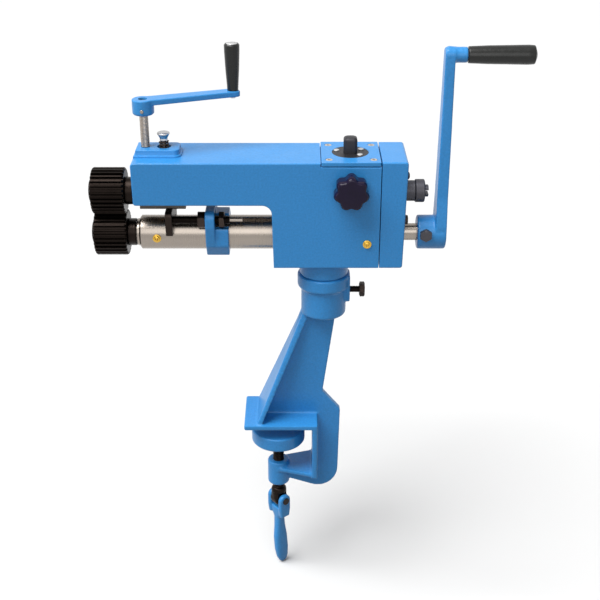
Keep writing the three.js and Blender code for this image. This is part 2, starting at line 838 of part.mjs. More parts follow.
function swivelSpigot() {
  const profile = [
    [collarTop + runGap - spigotLength, 0],
    [collarTop + runGap - spigotLength, spigotRadius - 1.5],
    [collarTop + runGap - spigotLength + 1.5, spigotRadius],
    [collarTop + runGap, spigotRadius],
    [collarTop + runGap, neckRadius - 1.5],
    [collarTop + runGap + 1.5, neckRadius],
    [headFoot, neckRadius],
    [headFoot, spigotStubRadius],
    [headFoot + spigotStubLength, spigotStubRadius],
    [headFoot + spigotStubLength, 0],
  ];
  return turnedZ(profile, mastAxisX, 0, fineSides);
}

function headOutline() {
  return rounded([
    [noseX, armTop, 4],
    [noseX + 0.8, armFoot, 3],
    [throatTopX, armFoot, throatFillet],
    [headLeft, headFoot, 5],
    [coverSeamX, headFoot],
    [coverSeamX, plateSeatZ],
    [coverSeamX - topPlateLength, plateSeatZ],
    [coverSeamX - topPlateLength, armTop],
  ]);
}

function noseBoss() {
  const half = noseBossWidth / 2;
  const right = noseX + noseBossLength - half;
  const flat = box(noseX + 2, right, -half, half, armTop - 2, noseBossTop);
  const roundEnd = barZ(armTop - 2, noseBossTop, half, right, 0, midSides);
  return join(flat, roundEnd);
}

function noseWays() {
  const chamber = box(
    chamberX0, chamberX1, -blockWidth / 2 - blockSideGap, blockWidth / 2 + blockSideGap,
    armFoot - 5, chamberTop,
  );
  const frontHole = barX(noseX - cutOver, chamberX0 + cutOver, shaftRadius + noseHoleGap, 0, upperZ);
  const lifted = barX(noseX - cutOver, chamberX0 + cutOver, shaftRadius + noseHoleGap, 0, upperZ + liftTravel);
  const between = box(
    noseX - cutOver, chamberX0 + cutOver, -shaftRadius - noseHoleGap, shaftRadius + noseHoleGap,
    upperZ, upperZ + liftTravel,
  );
  const screwWay = barZ(chamberTop - cutOver, noseBossTop + cutOver, boreRadius(pressureRadius, turnGap, midSides), pressureX);
  const boltWay = barZ(chamberTop - cutOver, noseBossTop + cutOver, liftBoltRadius + 0.4, liftX);
  const well = barZ(noseBossTop - liftWellDepth, noseBossTop + cutOver, liftWellRadius, liftX, 0, midSides);
  return [chamber, frontHole, lifted, between, screwWay, boltWay, well];
}

function armTunnel() {
  const half = tunnelWidth / 2;
  return box(chamberX1 + 6, throatTopX - throatFillet, -half, half, armFoot - 5, armTop - tunnelRoof);
}

function headWays() {
  const through = barX(chamberX1 - cutOver, rearSleeveX0 + cutOver, headBoreRadius, 0, upperZ);
  const sleeveHole = boreRadius(rearSleeveRadius, turnGap, fineSides);
  const rearWay = barX(rearSleeveX0 - 3, coverSeamX + cutOver, sleeveHole, 0, upperZ, fineSides);
  const barrelHole = boreRadius(alignerBarrelRadius, turnGap, midSides);
  const barrelWay = barZ(upperZ, plateSeatZ + cutOver, barrelHole, alignerX, 0, midSides);
  const frontSeat = barX(headLeft - 10, sleeveX1, sleeveRadius + fitGap, 0, lowerZ, fineSides);
  const lowerWay = barX(sleeveX1 - cutOver, coverSeamX + cutOver, rearBushRadius + fitGap, 0, lowerZ, midSides);
  const stubWay = barZ(headFoot - cutOver, headFoot + spigotStubLength + fitGap, spigotStubRadius + fitGap, mastAxisX, 0, fineSides);
  const starWay = barY(-halfDepth - cutOver, -rearSleeveRadius + 8, boreRadius(starStudRadius, turnGap, smallSides), alignerX, starZ);
  return [through, rearWay, barrelWay, frontSeat, lowerWay, stubWay, starWay];
}

function headScrewHoles() {
  const plateHoles = plateScrewPlaces.map(([x, y]) =>
    barZ(plateSeatZ - plateScrewBite - 1, plateSeatZ + cutOver, smallScrewRadius + fitGap, x, y, tinySides));
  const coverHoles = coverFixings.map(([y, z, r]) =>
    barX(coverSeamX - screwBite - 1, coverSeamX + cutOver, r + fitGap, y, z, tinySides));
  const oilWay = barY(-halfDepth - cutOver, -halfDepth + oilerBite + 1, oilerStemRadius + fitGap, bodyOilerX, lowerZ, tinySides);
  return [...plateHoles, ...coverHoles, oilWay];
}

function headCasting() {
  const body = join(slabY(headOutline(), -halfDepth, halfDepth), noseBoss());
  return cut(body, ...noseWays(), armTunnel(), ...headWays(), ...headScrewHoles());
}

function gearCover() {
  const outline = rounded([
    [coverX0, headFoot],
    [coverFaceAt(headFoot), headFoot, 3],
    [coverX1, headTop, 3],
    [coverX0, headTop],
  ]);
  const body = slabY(outline, -halfDepth, halfDepth);
  const pocketEnd = coverX0 + gearPocketDepth;
  const r = gearTipRadius + gearPocketGap;
  const lowerPocket = barX(coverX0 - cutOver, pocketEnd, r, 0, lowerZ, fineSides);
  const upperPocket = barX(coverX0 - cutOver, pocketEnd, r + gearDip, 0, upperZ - gearDip, fineSides);
  const crankWay = barX(coverX0, coverX1 + cutOver, crankShaftRadius + runGap, 0, lowerZ, midSides);
  const tailWay = barX(coverX0, coverX1 + cutOver, upperTailRadius + tailHoleGap, 0, upperZ, midSides);
  const fixings = coverFixings.map(([y, z, hole]) =>
    barX(coverX0 - cutOver, coverX1 + cutOver, hole + fitGap, y, z, tinySides));
  return cut(body, lowerPocket, upperPocket, crankWay, tailWay, ...fixings);
}

function coverBolt() {
  const z = lowerZ + coverBoltRise;
  const face = coverFaceAt(z) + 0.3;
  const shank = barX(coverSeamX - screwBite, face + 1, coverBoltRadius, -coverBoltSide, z, tinySides);
  const head = hexX(face, face + coverBoltHeadThick, coverBoltHeadRadius, -coverBoltSide, z);
  return join(shank, head);
}

function coverScrew(side) {
  const z = headTop - coverScrewDrop;
  const face = coverFaceAt(z) + 0.15;
  return turnedX(
    [
      [coverSeamX - screwBite, 0],
      [coverSeamX - screwBite, smallScrewRadius],
      [face, smallScrewRadius],
      [face, smallScrewHeadRadius],
      [face + 1.6, smallScrewHeadRadius - 0.8],
      [face + 2.2, smallScrewHeadRadius - 2.4],
      [face + 2.2, 0],
    ],
    side * coverScrewSide,
    z,
    tinySides,
  );
}

function countersink(x, y) {
  return turnedZ(
    [
      [plateSeatZ, 0],
      [plateSeatZ, smallScrewRadius + fitGap],
      [headTop - countersinkDepth - 0.2, smallScrewRadius + fitGap],
      [headTop - 0.2, smallScrewHeadRadius + fitGap],
      [headTop + cutOver, smallScrewHeadRadius + fitGap],
      [headTop + cutOver, 0],
    ],
    x,
    y,
    tinySides,
  );
}

function topPlate() {
  const outline = rounded([
    [coverSeamX - topPlateLength + plateEndGap, -halfDepth, 1.5],
    [coverSeamX - plateEndGap, -halfDepth],
    [coverSeamX - plateEndGap, halfDepth],
    [coverSeamX - topPlateLength + plateEndGap, halfDepth, 1.5],
  ]);
  const disc = boreRadius(alignerDiscRadius, turnGap, fineSides);
  const discWay = barZ(plateSeatZ - cutOver, headTop + cutOver, disc, alignerX, 0, fineSides);
  const sinks = plateScrewPlaces.map(([x, y]) => countersink(x, y));
  return cut(slabZ(outline, plateSeatZ, headTop), discWay, ...sinks);
}

function topPlateScrew(x, y) {
  const top = headTop - 0.2;
  const screw = turnedZ(
    [
      [plateSeatZ - plateScrewBite, 0],
      [plateSeatZ - plateScrewBite, smallScrewRadius],
      [top - countersinkDepth, smallScrewRadius],
      [top, smallScrewHeadRadius],
      [top, 0],
    ],
    x,
    y,
    tinySides,
  );
  return cut(screw, box(x - 5, x + 5, y - 0.5, y + 0.5, top - 1, top + 1));
}

// Alignment disc and rear bearing

function alignerDisc() {
  const profile = [
    [alignerBarrelFoot, 0],
    [alignerBarrelFoot, alignerBarrelRadius],
    [plateSeatZ, alignerBarrelRadius],
    [plateSeatZ, alignerDiscRadius],
    [headTop - 0.4, alignerDiscRadius],
    [headTop, alignerDiscRadius - 0.5],
    [headTop, 0],
  ];
  const half = alignerPostWidth / 2;
  const bevel = half - alignerPostChamfer;
  const post = [
    [half, -bevel], [half, bevel], [bevel, half], [-bevel, half],
    [-half, bevel], [-half, -bevel], [-bevel, -half], [bevel, -half],
  ].map(([x, y]) => [x + alignerX, y]);
  const key = slabZ(post, headTop - 1, headTop + alignerPostHeight);
  const crank = barZ(
    alignerBarrelFoot - alignerPinReach, alignerBarrelFoot + 1, alignerPinRadius,
    alignerX, -alignerEccentricity, smallSides,
  );
  const holes = alignerScrewPlaces.map(([x, y]) =>
    barZ(headTop - 3.2, headTop + cutOver, discScrewRadius + fitGap, x, y, tinySides));
  return cut(join(turnedZ(profile, alignerX, 0, fineSides), key, crank), ...holes);
}

function alignerScrew(x, y) {
  return turnedZ(
    [
      [headTop - 3, 0],
      [headTop - 3, discScrewRadius],
      [headTop, discScrewRadius],
      [headTop, discScrewRadius + 1],
      [headTop + 0.9, discScrewRadius + 0.7],
      [headTop + 1.2, 0.6],
      [headTop + 1.2, 0],
    ],
    x,
    y,
    tinySides,
  );
}

function ballArc(radius, half, steps) {
  const arc = [];
  for (let i = 0; i <= steps; i += 1) {
    const at = -half + (2 * half * i) / steps;
    arc.push([alignerX + at, Math.sqrt(radius * radius - at * at)]);
  }
  return arc;
}

function rearBearingSleeve() {
  const half = rearSleeveLength / 2;
  const seat = ballArc(swivelBallRadius + ballGap, swivelBallHalfWidth, 6);
  const neck = seat[0][1];
  const body = turnedX(
    [
      ...seat,
      [alignerX + half, neck],
      [alignerX + half, rearSleeveRadius],
      [alignerX - half, rearSleeveRadius],
      [alignerX - half, neck],
      seat[0],
    ],
    0,
    upperZ,
    fineSides,
  );
  const reach = alignerPinRadius + turnGap;
  const slot = box(
    alignerX - reach, alignerX + reach, -alignerEccentricity - reach, -alignerEccentricity + reach + 0.3,
    upperZ + 17.5, upperZ + rearSleeveRadius + cutOver,
  );
  return cut(body, slot);
}

function rearBush() {
  const half = swivelBallHalfWidth;
  const bore = boreRadius(shaftRadius, turnGap, midSides);
  const ball = ballArc(swivelBallRadius, half, 6);
  return turnedX(
    [[alignerX - half, bore], ...ball, [alignerX + half, bore], [alignerX - half, bore]],
    0,
    upperZ,
    fineSides,
  );
}

function starKnob() {
  const front = starKnobY - starKnobThick;
  const ring = (y, shrink) => {
    const points = [];
    for (let i = 0; i < starKnobLobes * 6; i += 1) {
      const at = (i * 2 * Math.PI) / (starKnobLobes * 6);
      const wave = (1 - Math.cos(at * starKnobLobes)) / 2;
      const r = starKnobRadius - shrink - starKnobLobeDepth * wave ** 1.5;
      points.push([alignerX + r * Math.sin(at), y, starZ + r * Math.cos(at)]);
    }
    return points;
  };
  const grip = loft([
    ring(front, 3.2),
    ring(front + 1.4, 0.9),
    ring(front + 3.6, 0),
    ring(starKnobY - 2.5, 0.3),
    ring(starKnobY, 2.4),
  ]);
  const stem = barY(starKnobY - 1, starKnobY + starKnobStem, starKnobStemRadius, alignerX, starZ, midSides);
  const hole = starStudRadius + fitGap;
  const studWay = barY(starKnobY - starStudGrip, starKnobY + starKnobStem + cutOver, hole, alignerX, starZ);
  return cut(join(grip, stem), studWay);
}

function starKnobStud() {
  const tip = -Math.sqrt(rearSleeveRadius ** 2 - (starRise - starStudRadius) ** 2) - runGap;
  return barY(starKnobY - starStudGrip, tip, starStudRadius, alignerX, starZ);
}

// Lower shaft

function lowerSleeve() {
  const body = turnedX(
    [
      [sleeveX0, sleeveBore],
      [sleeveX0, sleeveRadius - sleeveChamfer / 2],
      [sleeveX0 + sleeveChamfer, sleeveRadius],
      [sleeveX1, sleeveRadius],
      [sleeveX1, sleeveBore],
      [sleeveX0, sleeveBore],
    ],
    0,
    lowerZ,
    fineSides,
  );
  const oilWay = barY(-sleeveRadius - cutOver, -sleeveBore + cutOver, oilerStemRadius + fitGap, sleeveOilerX, lowerZ, tinySides);
  return cut(body, oilWay);
}

function lowerFrontBush() {
  const bore = boreRadius(shaftRadius, turnGap, fineSides);
  return turnedX(
    [
      [sleeveX0 - bushFlangeThick, bore],
      [sleeveX0 - bushFlangeThick, bushFlangeRadius - 0.8],
      [sleeveX0 - bushFlangeThick + 0.8, bushFlangeRadius],
      [sleeveX0, bushFlangeRadius],
      [sleeveX0, sleeveBore - fitGap],
      [sleeveX0 + frontBushLength, sleeveBore - fitGap],
      [sleeveX0 + frontBushLength, bore],
      [sleeveX0 - bushFlangeThick, bore],
    ],
    0,
    lowerZ,
    fineSides,
  );
}

function lowerRearBush() {
  const bore = boreRadius(shaftRadius, turnGap, midSides);
  const x0 = coverSeamX - rearBushLength;
  return tubeX(x0, coverSeamX, bore, rearBushRadius, 0, lowerZ, midSides);
}

// An oil nipple: a stem in the hole, a flange on the face and a round cap in front.
function oiler(x, face, stemEnd) {
  return turnedY(
    [
      [stemEnd, 0],
      [stemEnd, oilerStemRadius],
      [face, oilerStemRadius],
      [face, oilerRadius],
      [face - 1.2, oilerRadius],
      [face - 1.6, oilerRadius - 1.3],
      [face - oilerReach + 0.9, oilerRadius - 1.5],
      [face - oilerReach, oilerRadius - 2.8],
      [face - oilerReach, 0],
    ],
    x,
    lowerZ,
    tinySides,
  );
}
const bodyOiler = () => oiler(bodyOilerX, -halfDepth, -halfDepth + oilerBite);
const sleeveOiler = () => oiler(sleeveOilerX, -sleeveRadius, -sleeveBore - fitGap);

function lowerShaft() {
  const left = rollLeft + shaftEndInset;
  const profile = [
    [left, 0],
    [left, shaftRadius - 1],
    [left + 1, shaftRadius],
    [gearX0 + gearWidth, shaftRadius],
    [gearX0 + gearWidth, crankShaftRadius],
    [crankHubX1 - 1, crankShaftRadius],
    [crankHubX1, crankShaftRadius - 1],
    [crankHubX1, 0],
  ];
  const tapped = barX(left - cutOver, left + rollScrewDepth, rollScrewRadius + fitGap, 0, lowerZ, smallSides);
  return cut(turnedX(profile, 0, lowerZ, fineSides), tapped);
}

function roll(z, phase) {
  const wheel = toothedWheel(
    rollLeft, rollRight, rollTeeth, [rollTipRadius, rollRootRadius],
    [rollTipShare, rollRootShare], rollChamfer, phase, z,
  );
  return cut(wheel, barX(rollLeft - cutOver, rollRight + cutOver, shaftRadius + fitGap, 0, z, fineSides));
}

function rollScrew(z) {
  const left = rollLeft + shaftEndInset;
  const screw = turnedX(
    [
      [rollLeft - rollScrewHeadThick, 0],
      [rollLeft - rollScrewHeadThick, rollScrewHeadRadius - 1],
      [rollLeft - rollScrewHeadThick + 1, rollScrewHeadRadius],
      [rollLeft, rollScrewHeadRadius],
      [rollLeft, rollScrewRadius],
      [left + rollScrewDepth - 1, rollScrewRadius],
      [left + rollScrewDepth - 1, 0],
    ],
    0,
    z,
    smallSides,
  );
  const socket = hexX(rollLeft - rollScrewHeadThick - cutOver, rollLeft - 0.6, rollSocketRadius, 0, z);
  return cut(screw, socket);
}

function rollCollar(length, z) {
  return turnedX(
    [
      [rollRight, shaftRadius + fitGap],
      [rollRight, collarRadius - 1],
      [rollRight + 1, collarRadius],
      [rollRight + length - 1, collarRadius],
      [rollRight + length, collarRadius - 1],
      [rollRight + length, shaftRadius + fitGap],
      [rollRight, shaftRadius + fitGap],
    ],
    0,
    z,
    fineSides,
  );
}

function gear(z, phase) {
  const wheel = toothedWheel(
    gearX0, gearX0 + gearWidth, gearTeeth, [gearTipRadius, gearRootRadius],
    [gearTipShare, gearRootShare], 0.8, phase, z,
  );
  const bore = barX(gearX0 - cutOver, gearX0 + gearWidth + cutOver, shaftRadius + fitGap, 0, z, fineSides);
  return cut(wheel, bore);
}

// Crank

function crankArm() {
  const hub = turnedX(
    [
      [crankHubX0, 0],
      [crankHubX0, crankHubRadius - 1.2],
      [crankHubX0 + 1.2, crankHubRadius],
      [crankHubX1 - 1.2, crankHubRadius],
      [crankHubX1, crankHubRadius - 1.2],
      [crankHubX1, 0],
    ],
    0,
    lowerZ,
    fineSides,
  );
  const front = rounded([
    [-crankArmFoot / 2, lowerZ],
    [crankArmFoot / 2, lowerZ],
    [crankArmHead / 2, crankTop, crankArmHead / 2 - 1],
    [-crankArmHead / 2, crankTop, crankArmHead / 2 - 1],
  ]);
  const side = rounded([
    [crankArmX0, lowerZ - 4],
    [crankHubX1, lowerZ - 4],
    [crankHubX1 - 0.8, crankTop],
    [crankArmX0 + 1, crankTop, 9],
  ]);
  const arm = slabX(front, crankArmX0 - 5, crankHubX1 + 5).intersect(slabY(side, -40, midSides));
  const stub = turnedX(
    [
      [crankHubX1 - 6, 0],
      [crankHubX1 - 6, crankStubRadius],
      [crankStubX1 - 1, crankStubRadius],
      [crankStubX1, crankStubRadius - 1],
      [crankStubX1, 0],
    ],
    0,
    crankGripZ,
    midSides,
  );
  const bore = barX(crankHubX0 - cutOver, crankHubX1 + cutOver, crankShaftRadius + fitGap, 0, lowerZ, fineSides);
  const spindleWay = barX(crankArmX0 + 3, crankStubX1 + cutOver, spindleRadius + fitGap, 0, crankGripZ, smallSides);
  const setWay = barY(-crankHubRadius - cutOver, -crankShaftRadius + 3, hexShankRadius + fitGap, hubBoltX, hubBoltZ);
  return cut(join(hub, arm, stub), bore, spindleWay, setWay);
}

function crankSetScrew() {
  const face = -crankHubRadius;
  const head = hexX(-hexHeadThick, 0, hexHeadRadius, 0, 0).rotate([0, 0, 90]);
  const placed = head.translate([hubBoltX, face - fitGap, hubBoltZ]);
  const tip = -Math.sqrt(crankShaftRadius ** 2 - (hubBoltZ - lowerZ) ** 2) - 1.6;
  return join(placed, barY(face - 1, tip, hexShankRadius, hubBoltX, hubBoltZ));
}

function crankSpindle() {
  return turnedX(
    [
      [crankArmX0 + 3.2, 0],
      [crankArmX0 + 3.2, spindleRadius],
      [crankStubX1, spindleRadius],
      [crankStubX1 + crankGripLength - 9, spindleRadius],
      [crankStubX1 + crankGripLength - 8, spindleRadius - 1],
      [crankStubX1 + crankGripLength - 8, 0],
    ],
    0,
    crankGripZ,
    smallSides,
  );
}

function crankGrip() {
  const x0 = crankStubX1 + runGap;
  const x1 = x0 + crankGripLength;
  const profile = [
    [x0, 0],
    [x0, crankGripFoot - 1],
    [x0 + 1, crankGripFoot],
    [x0 + 40, crankGripHead - 0.5],
    [x1 - 7, crankGripHead],
    [x1 - 3.4, crankGripHead - 1.5],
    [x1 - 1, crankGripHead - 4.5],
    [x1, crankGripHead - 8.5],
    [x1, 0],
  ];
  const bore = barX(x0 - cutOver, x1 - 7, boreRadius(spindleRadius, turnGap, smallSides), 0, crankGripZ, smallSides);
  return cut(turnedX(profile, 0, crankGripZ, midSides), bore);
}

// Upper shaft

function upperShaft() {
  const left = rollLeft + shaftEndInset;
  const profile = [
    [left, 0],
    [left, shaftRadius - 1],
    [left + 1, shaftRadius],
    [gearX0 + gearWidth, shaftRadius],
    [gearX0 + gearWidth, upperTailRadius],
    [upperTailX1 - 1, upperTailRadius],
    [upperTailX1, upperTailRadius - 1],
    [upperTailX1, 0],
  ];
  const tapped = barX(left - cutOver, left + rollScrewDepth, rollScrewRadius + fitGap, 0, upperZ, smallSides);
  return cut(turnedX(profile, 0, upperZ, fineSides), tapped);
}

function rearSpacer() {
  return tubeX(spacerX0, spacerX0 + spacerLength, upperTailRadius + fitGap, spacerRadius, 0, upperZ);
}

function rearLockNut() {
  const x0 = spacerX0 + spacerLength;
  const x1 = x0 + lockNutLength;
  const body = turnedX(
    [
      [x0, upperTailRadius + fitGap],
      [x0, lockNutRadius - 1],
      [x0 + 1, lockNutRadius],
      [x1, lockNutRadius],
      [x1, lockNutCrownRadius + 1.4],
      [x1 + lockNutCrownLength, lockNutCrownRadius + 0.9],
      [x1 + lockNutCrownLength, upperTailRadius + fitGap],
      [x0, upperTailRadius + fitGap],
    ],
    0,
    upperZ,
    fineSides,
  );
  const half = lockNutSlotWidth / 2;
  const slots = [];
  for (let i = 0; i < lockNutSlots / 2; i += 1) {
    const slot = box(x1, x1 + lockNutCrownLength + cutOver, -20, 20, -half, half);
    slots.push(slot.rotate([(i * 360) / lockNutSlots + 15, 0, 0]).translate([0, 0, upperZ]));
  }
  return cut(body, ...slots);
}

// Bearing block in the nose

function bearingBlock() {
  const top = upperZ + blockAboveAxis;
  const half = blockWidth / 2;
  const outline = rounded([
    [-half, upperZ - blockBelowAxis, 2],
    [half, upperZ - blockBelowAxis, 2],
    [half, top, 2],
    [-half, top, 2],
  ], 2);
  const shaftWay = barX(blockX0 - cutOver, blockX1 + cutOver, blockBoreRadius, 0, upperZ, fineSides);
  const bushWay = barX(blockBushX0, blockX1 + cutOver, blockBushRadius + fitGap, 0, upperZ, fineSides);
  const boltWay = barZ(top - liftBoltThread, top + cutOver, liftBoltRadius + fitGap, liftX, 0, midSides);
  const screwWay = barZ(
    upperZ - blockBelowAxis - cutOver, upperZ - blockBelowAxis + blockScrewLength + 0.3,
    smallScrewRadius + fitGap, blockScrewX, -blockScrewSide, tinySides,
  );
  return cut(slabX(outline, blockX0, blockX1), shaftWay, bushWay, boltWay, screwWay);
}

function blockBush() {
  const bore = shaftRadius + blockBushGap;
  return tubeX(blockBushX0, blockBushX0 + blockBushLength, bore, blockBushRadius, 0, upperZ, fineSides);
}

function blockScrew() {
  const foot = upperZ - blockBelowAxis;
  return turnedZ(
    [
      [foot - 1.5, 0],
      [foot - 1.5, smallScrewHeadRadius - 1.4],
      [foot, smallScrewHeadRadius],
      [foot, smallScrewRadius],
      [foot + blockScrewLength, smallScrewRadius],
      [foot + blockScrewLength, 0],
    ],
    blockScrewX,
    -blockScrewSide,
    tinySides,
  );
}

function liftBolt() {
  const top = armTop + liftBoltTop;
  const head = top - liftBoltHeadHeight;
  const foot = upperZ + blockAboveAxis - liftBoltThread + 0.3;
  return turnedZ(
    [
      [foot, 0],
      [foot, liftBoltRadius],
      [head, liftBoltRadius],
      [head, liftBoltHeadRadius - 0.6],
      [head + 1, liftBoltHeadRadius],
      [top - 4.5, liftBoltHeadRadius],
      [top - 2, liftBoltHeadRadius - 1],
      [top - 0.4, liftBoltHeadRadius - 3],
      [top, liftBoltHeadRadius - 5.5],
      [top, 0],
    ],
    liftX,
    0,
    midSides,
  );
}

// The points on the spring's wire, from its foot to its head.
function springRoute() {
  const foot = noseBossTop - liftWellDepth + springWireRadius + springSeatGap;
  const head = armTop + liftBoltTop - liftBoltHeadHeight - springWireRadius - springSeatGap;
  const steps = springTurns * springStepsPerTurn;
  const route = [];
  for (let i = 0; i <= steps; i += 1) {
    const at = (i / steps) * springTurns * 2 * Math.PI;
    const outward = new THREE.Vector3(Math.cos(at), Math.sin(at), 0);
    const place = new THREE.Vector3(liftX, 0, foot + ((head - foot) * i) / steps);
    route.push({ outward, centre: place.addScaledVector(outward, springMeanRadius) });
  }
  return route;
}

function liftSpring() {
  const rings = springRoute().map(({ outward, centre }) => {
    const ring = [];
    for (let k = 0; k < springWireSides; k += 1) {
      const turn = (k * 2 * Math.PI) / springWireSides;
      const p = centre.clone().addScaledVector(outward, springWireRadius * Math.cos(turn));
      p.z += springWireRadius * Math.sin(turn);
      ring.push(p.toArray());
    }
    return ring;
  });
  return loft(rings);
}

// The least gap between one turn of the spring and the rest of it.
function springLeastGap() {
  const route = springRoute().map(({ centre }) => centre);
  let least = Infinity;
  route.forEach((a, i) => {
    for (let j = i + springStepsPerTurn - 2; j < route.length; j += 1) {
      least = Math.min(least, a.distanceTo(route[j]) - 2 * springWireRadius);
    }
  });
  return least;
}

// Pressure screw

function pressureScrew() {
  const foot = upperZ + blockAboveAxis;
  const top = armTop + pressureHubBottom + pressureHubHeight - 2;
  const screw = turnedZ(
    [
      [foot, 0],
      [foot, pressureRadius - 1.5],
      [foot + 1.5, pressureRadius],
      [top - 0.6, pressureRadius],
      [top, pressureRadius - 0.6],
      [top, 0],
    ],
    pressureX,
    0,
    midSides,
  );
  const z = pressurePinZ;
  return cut(screw, barY(-20, 20, hubPinRadius + fitGap, pressureX, z, tinySides));
}

function pressureCrank() {
  const z0 = armTop + pressureHubBottom;
  const z1 = z0 + pressureHubHeight;
  const hub = turnedZ(
    [
      [z0, 0],
      [z0, pressureHubRadius - 1],
      [z0 + 1, pressureHubRadius],
      [z1 - 1, pressureHubRadius],
      [z1, pressureHubRadius - 1],
      [z1, 0],
    ],
  );
  const half = pressureArmFoot / 2;
  const end = pressureArmEndRadius;
  const arm = slabZ(
    [
      [0, -half],
      [pressureArmLength, -end],
      [pressureArmLength, end],
      [0, half],
    ],
    pressureArmZ,
    pressureArmZ + pressureArmThick,
  );
  const endPad = barZ(pressureArmZ, pressureArmZ + pressureArmThick, end, pressureArmLength, 0, midSides);
  const screwWay = barZ(z0 - cutOver, z1 + cutOver, pressureRadius + fitGap);
  const pinWay = barY(-pressureHubRadius - cutOver, 0, hubPinRadius + fitGap, 0, pressurePinZ, tinySides);
  const gripWay = barZ(
    pressureArmZ + 1, pressureArmZ + pressureArmThick + cutOver, gripScrewRadius + fitGap,
    pressureArmLength, 0, smallSides,
  );
  const body = cut(join(hub, arm, endPad), screwWay, gripWay);
  return cut(body.rotate([0, 0, pressureArmAzimuth]), pinWay).translate([pressureX, 0, 0]);
}

function pressureHubPin() {
  const front = -pressureHubRadius - 1.2;
  return barY(front, 3, hubPinRadius, pressureX, pressurePinZ, tinySides);
}

function pressureGrip() {
  const [x, y] = gripPlace;
  const z0 = pressureArmZ + pressureArmThick + runGap;
  const z1 = z0 + pressureGripHeight;
  const body = turnedZ(
    [
      [z0, 0],
      [z0, pressureGripFoot - 0.6],
      [z0 + 0.8, pressureGripFoot],
      [z0 + 10, pressureGripFoot],
      [z0 + 28, pressureGripFoot + 1.1],
      [z1 - 6, pressureGripHead],
      [z1 - 1.5, pressureGripHead - 0.4],
      [z1, pressureGripHead - 1.6],
      [z1, 0],
    ],
    x,
    y,
    midSides,
  );
  const bore = barZ(z0 - cutOver, z1 + cutOver, boreRadius(gripScrewRadius, turnGap, smallSides), x, y, smallSides);
  const recess = barZ(z1 - gripRecess, z1 + cutOver, boreRadius(gripScrewHeadRadius, turnGap, smallSides), x, y, smallSides);
  return cut(body, bore, recess);
}

function pressureGripScrew() {
  const [x, y] = gripPlace;
  const head = pressureArmZ + pressureArmThick + runGap + pressureGripHeight - gripRecess + runGap;
  const screw = turnedZ(
    [
      [pressureArmZ + 1.1, 0],
      [pressureArmZ + 1.1, gripScrewRadius],
      [head, gripScrewRadius],
      [head, gripScrewHeadRadius],
      [head + 2.6, gripScrewHeadRadius],
      [head + 3.4, gripScrewHeadRadius - 1.2],
      [head + 3.4, 0],
    ],
    x,
    y,
    smallSides,
  );
  return cut(screw, box(x - 6, x + 6, y - 0.6, y + 0.6, head + 2.2, head + 5));
}

// Depth gauge

function gaugeCarriage() {
  const ringOutline = rounded([
    [-gaugeFlatHalf, lowerZ - gaugeFlatDrop, 3],
    [gaugeFlatHalf, lowerZ - gaugeFlatDrop, 3],
    [gaugeRingRadius, lowerZ - 8, 6],
    [gaugeRingRadius, lowerZ + 14, 10],
    [12, lowerZ + gaugeRingRadius, 8],
    [-12, lowerZ + gaugeRingRadius, 8],
    [-gaugeRingRadius, lowerZ + 14, 10],
    [-gaugeRingRadius, lowerZ - 8, 6],
  ], 3);
  const wallOutline = rounded([
    [-gaugeFlatHalf, lowerZ - gaugeFlatDrop, 3],
    [gaugeFlatHalf, lowerZ - gaugeFlatDrop, 3],
    [gaugeRingRadius, lowerZ - 8, 6],
    [gaugeWallHalfWidth + 2, lowerZ + gaugeWallRise, 6],
    [rodAxisY - gaugeRodBossRadius, lowerZ + gaugeWallRise, 9],
    [rodAxisY - gaugeRodBossRadius, lowerZ + gaugeRodRise - 6, 8],
    [-gaugeRingRadius, lowerZ - 8, 6],
  ], 4);
  const ring = slabX(ringOutline, gaugeX0, gaugeX1);
  const wall = slabX(wallOutline, gaugeX0, gaugeWallX1);
  const sleeveWay = barX(gaugeX0 - cutOver, gaugeX1 + cutOver, boreRadius(sleeveRadius, turnGap, fineSides), 0, lowerZ, fineSides);
  const rodHole = boreRadius(gaugeRodRadius, turnGap, smallSides);
  const rodWay = barX(gaugeX0 - cutOver, gaugeX1 + cutOver, rodHole, rodAxisY, rodAxisZ, smallSides);
  const nutRoom = barX(gaugeWallX1, gaugeX1 + cutOver, gaugeNutRadius + 1.5, rodAxisY, rodAxisZ, midSides);
  return cut(join(ring, wall), sleeveWay, rodWay, nutRoom);
}

function gaugeStop() {
  const foot = lowerZ + fingerFootRise;
  const top = upperZ - blockBelowAxis - fingerTopDrop;
  const outline = rounded([
    [-26.5, foot, 1.5],
    [-15, foot],
    [15, foot],
    [fingerBack - 1.5, foot, 2],
    [fingerBack, top, 6],
    [-fingerFront, top, 6],
    [-fingerFront, rodAxisZ - 4, 6],
  ], 3);
  const sleeveWay = barX(fingerX0 - cutOver, fingerX1 + cutOver, sleeveRadius + runGap, 0, lowerZ, fineSides);
  const rodWay = barX(fingerX0 - cutOver, fingerX1 + cutOver, gaugeRodRadius + fitGap, rodAxisY, rodAxisZ, smallSides);
  return cut(slabX(outline, fingerX0, fingerX1), sleeveWay, rodWay);
}

function gaugeRod() {
  const threadEnd = gaugeWallX1 + gaugeRodThreadPast;
  const tail = threadEnd + gaugeRodTailLength;
  return turnedX(
    [
      [fingerX0, 0],
      [fingerX0, gaugeRodRadius],
      [threadEnd - 1, gaugeRodRadius],
      [threadEnd, gaugeRodRadius - 1],
      [threadEnd, gaugeRodTailRadius],
      [tail, gaugeRodTailRadius],
      [tail, 0],
    ],
    rodAxisY,
    rodAxisZ,
    smallSides,
  );
}

function gaugeNut(x0, thick) {
  const bore = barX(x0 - cutOver, x0 + thick + cutOver, boreRadius(gaugeRodRadius, turnGap, smallSides), rodAxisY, rodAxisZ, smallSides);
  return cut(hexX(x0, x0 + thick, gaugeNutRadius, rodAxisY, rodAxisZ, Math.PI / 6), bore);
}

// Assembly

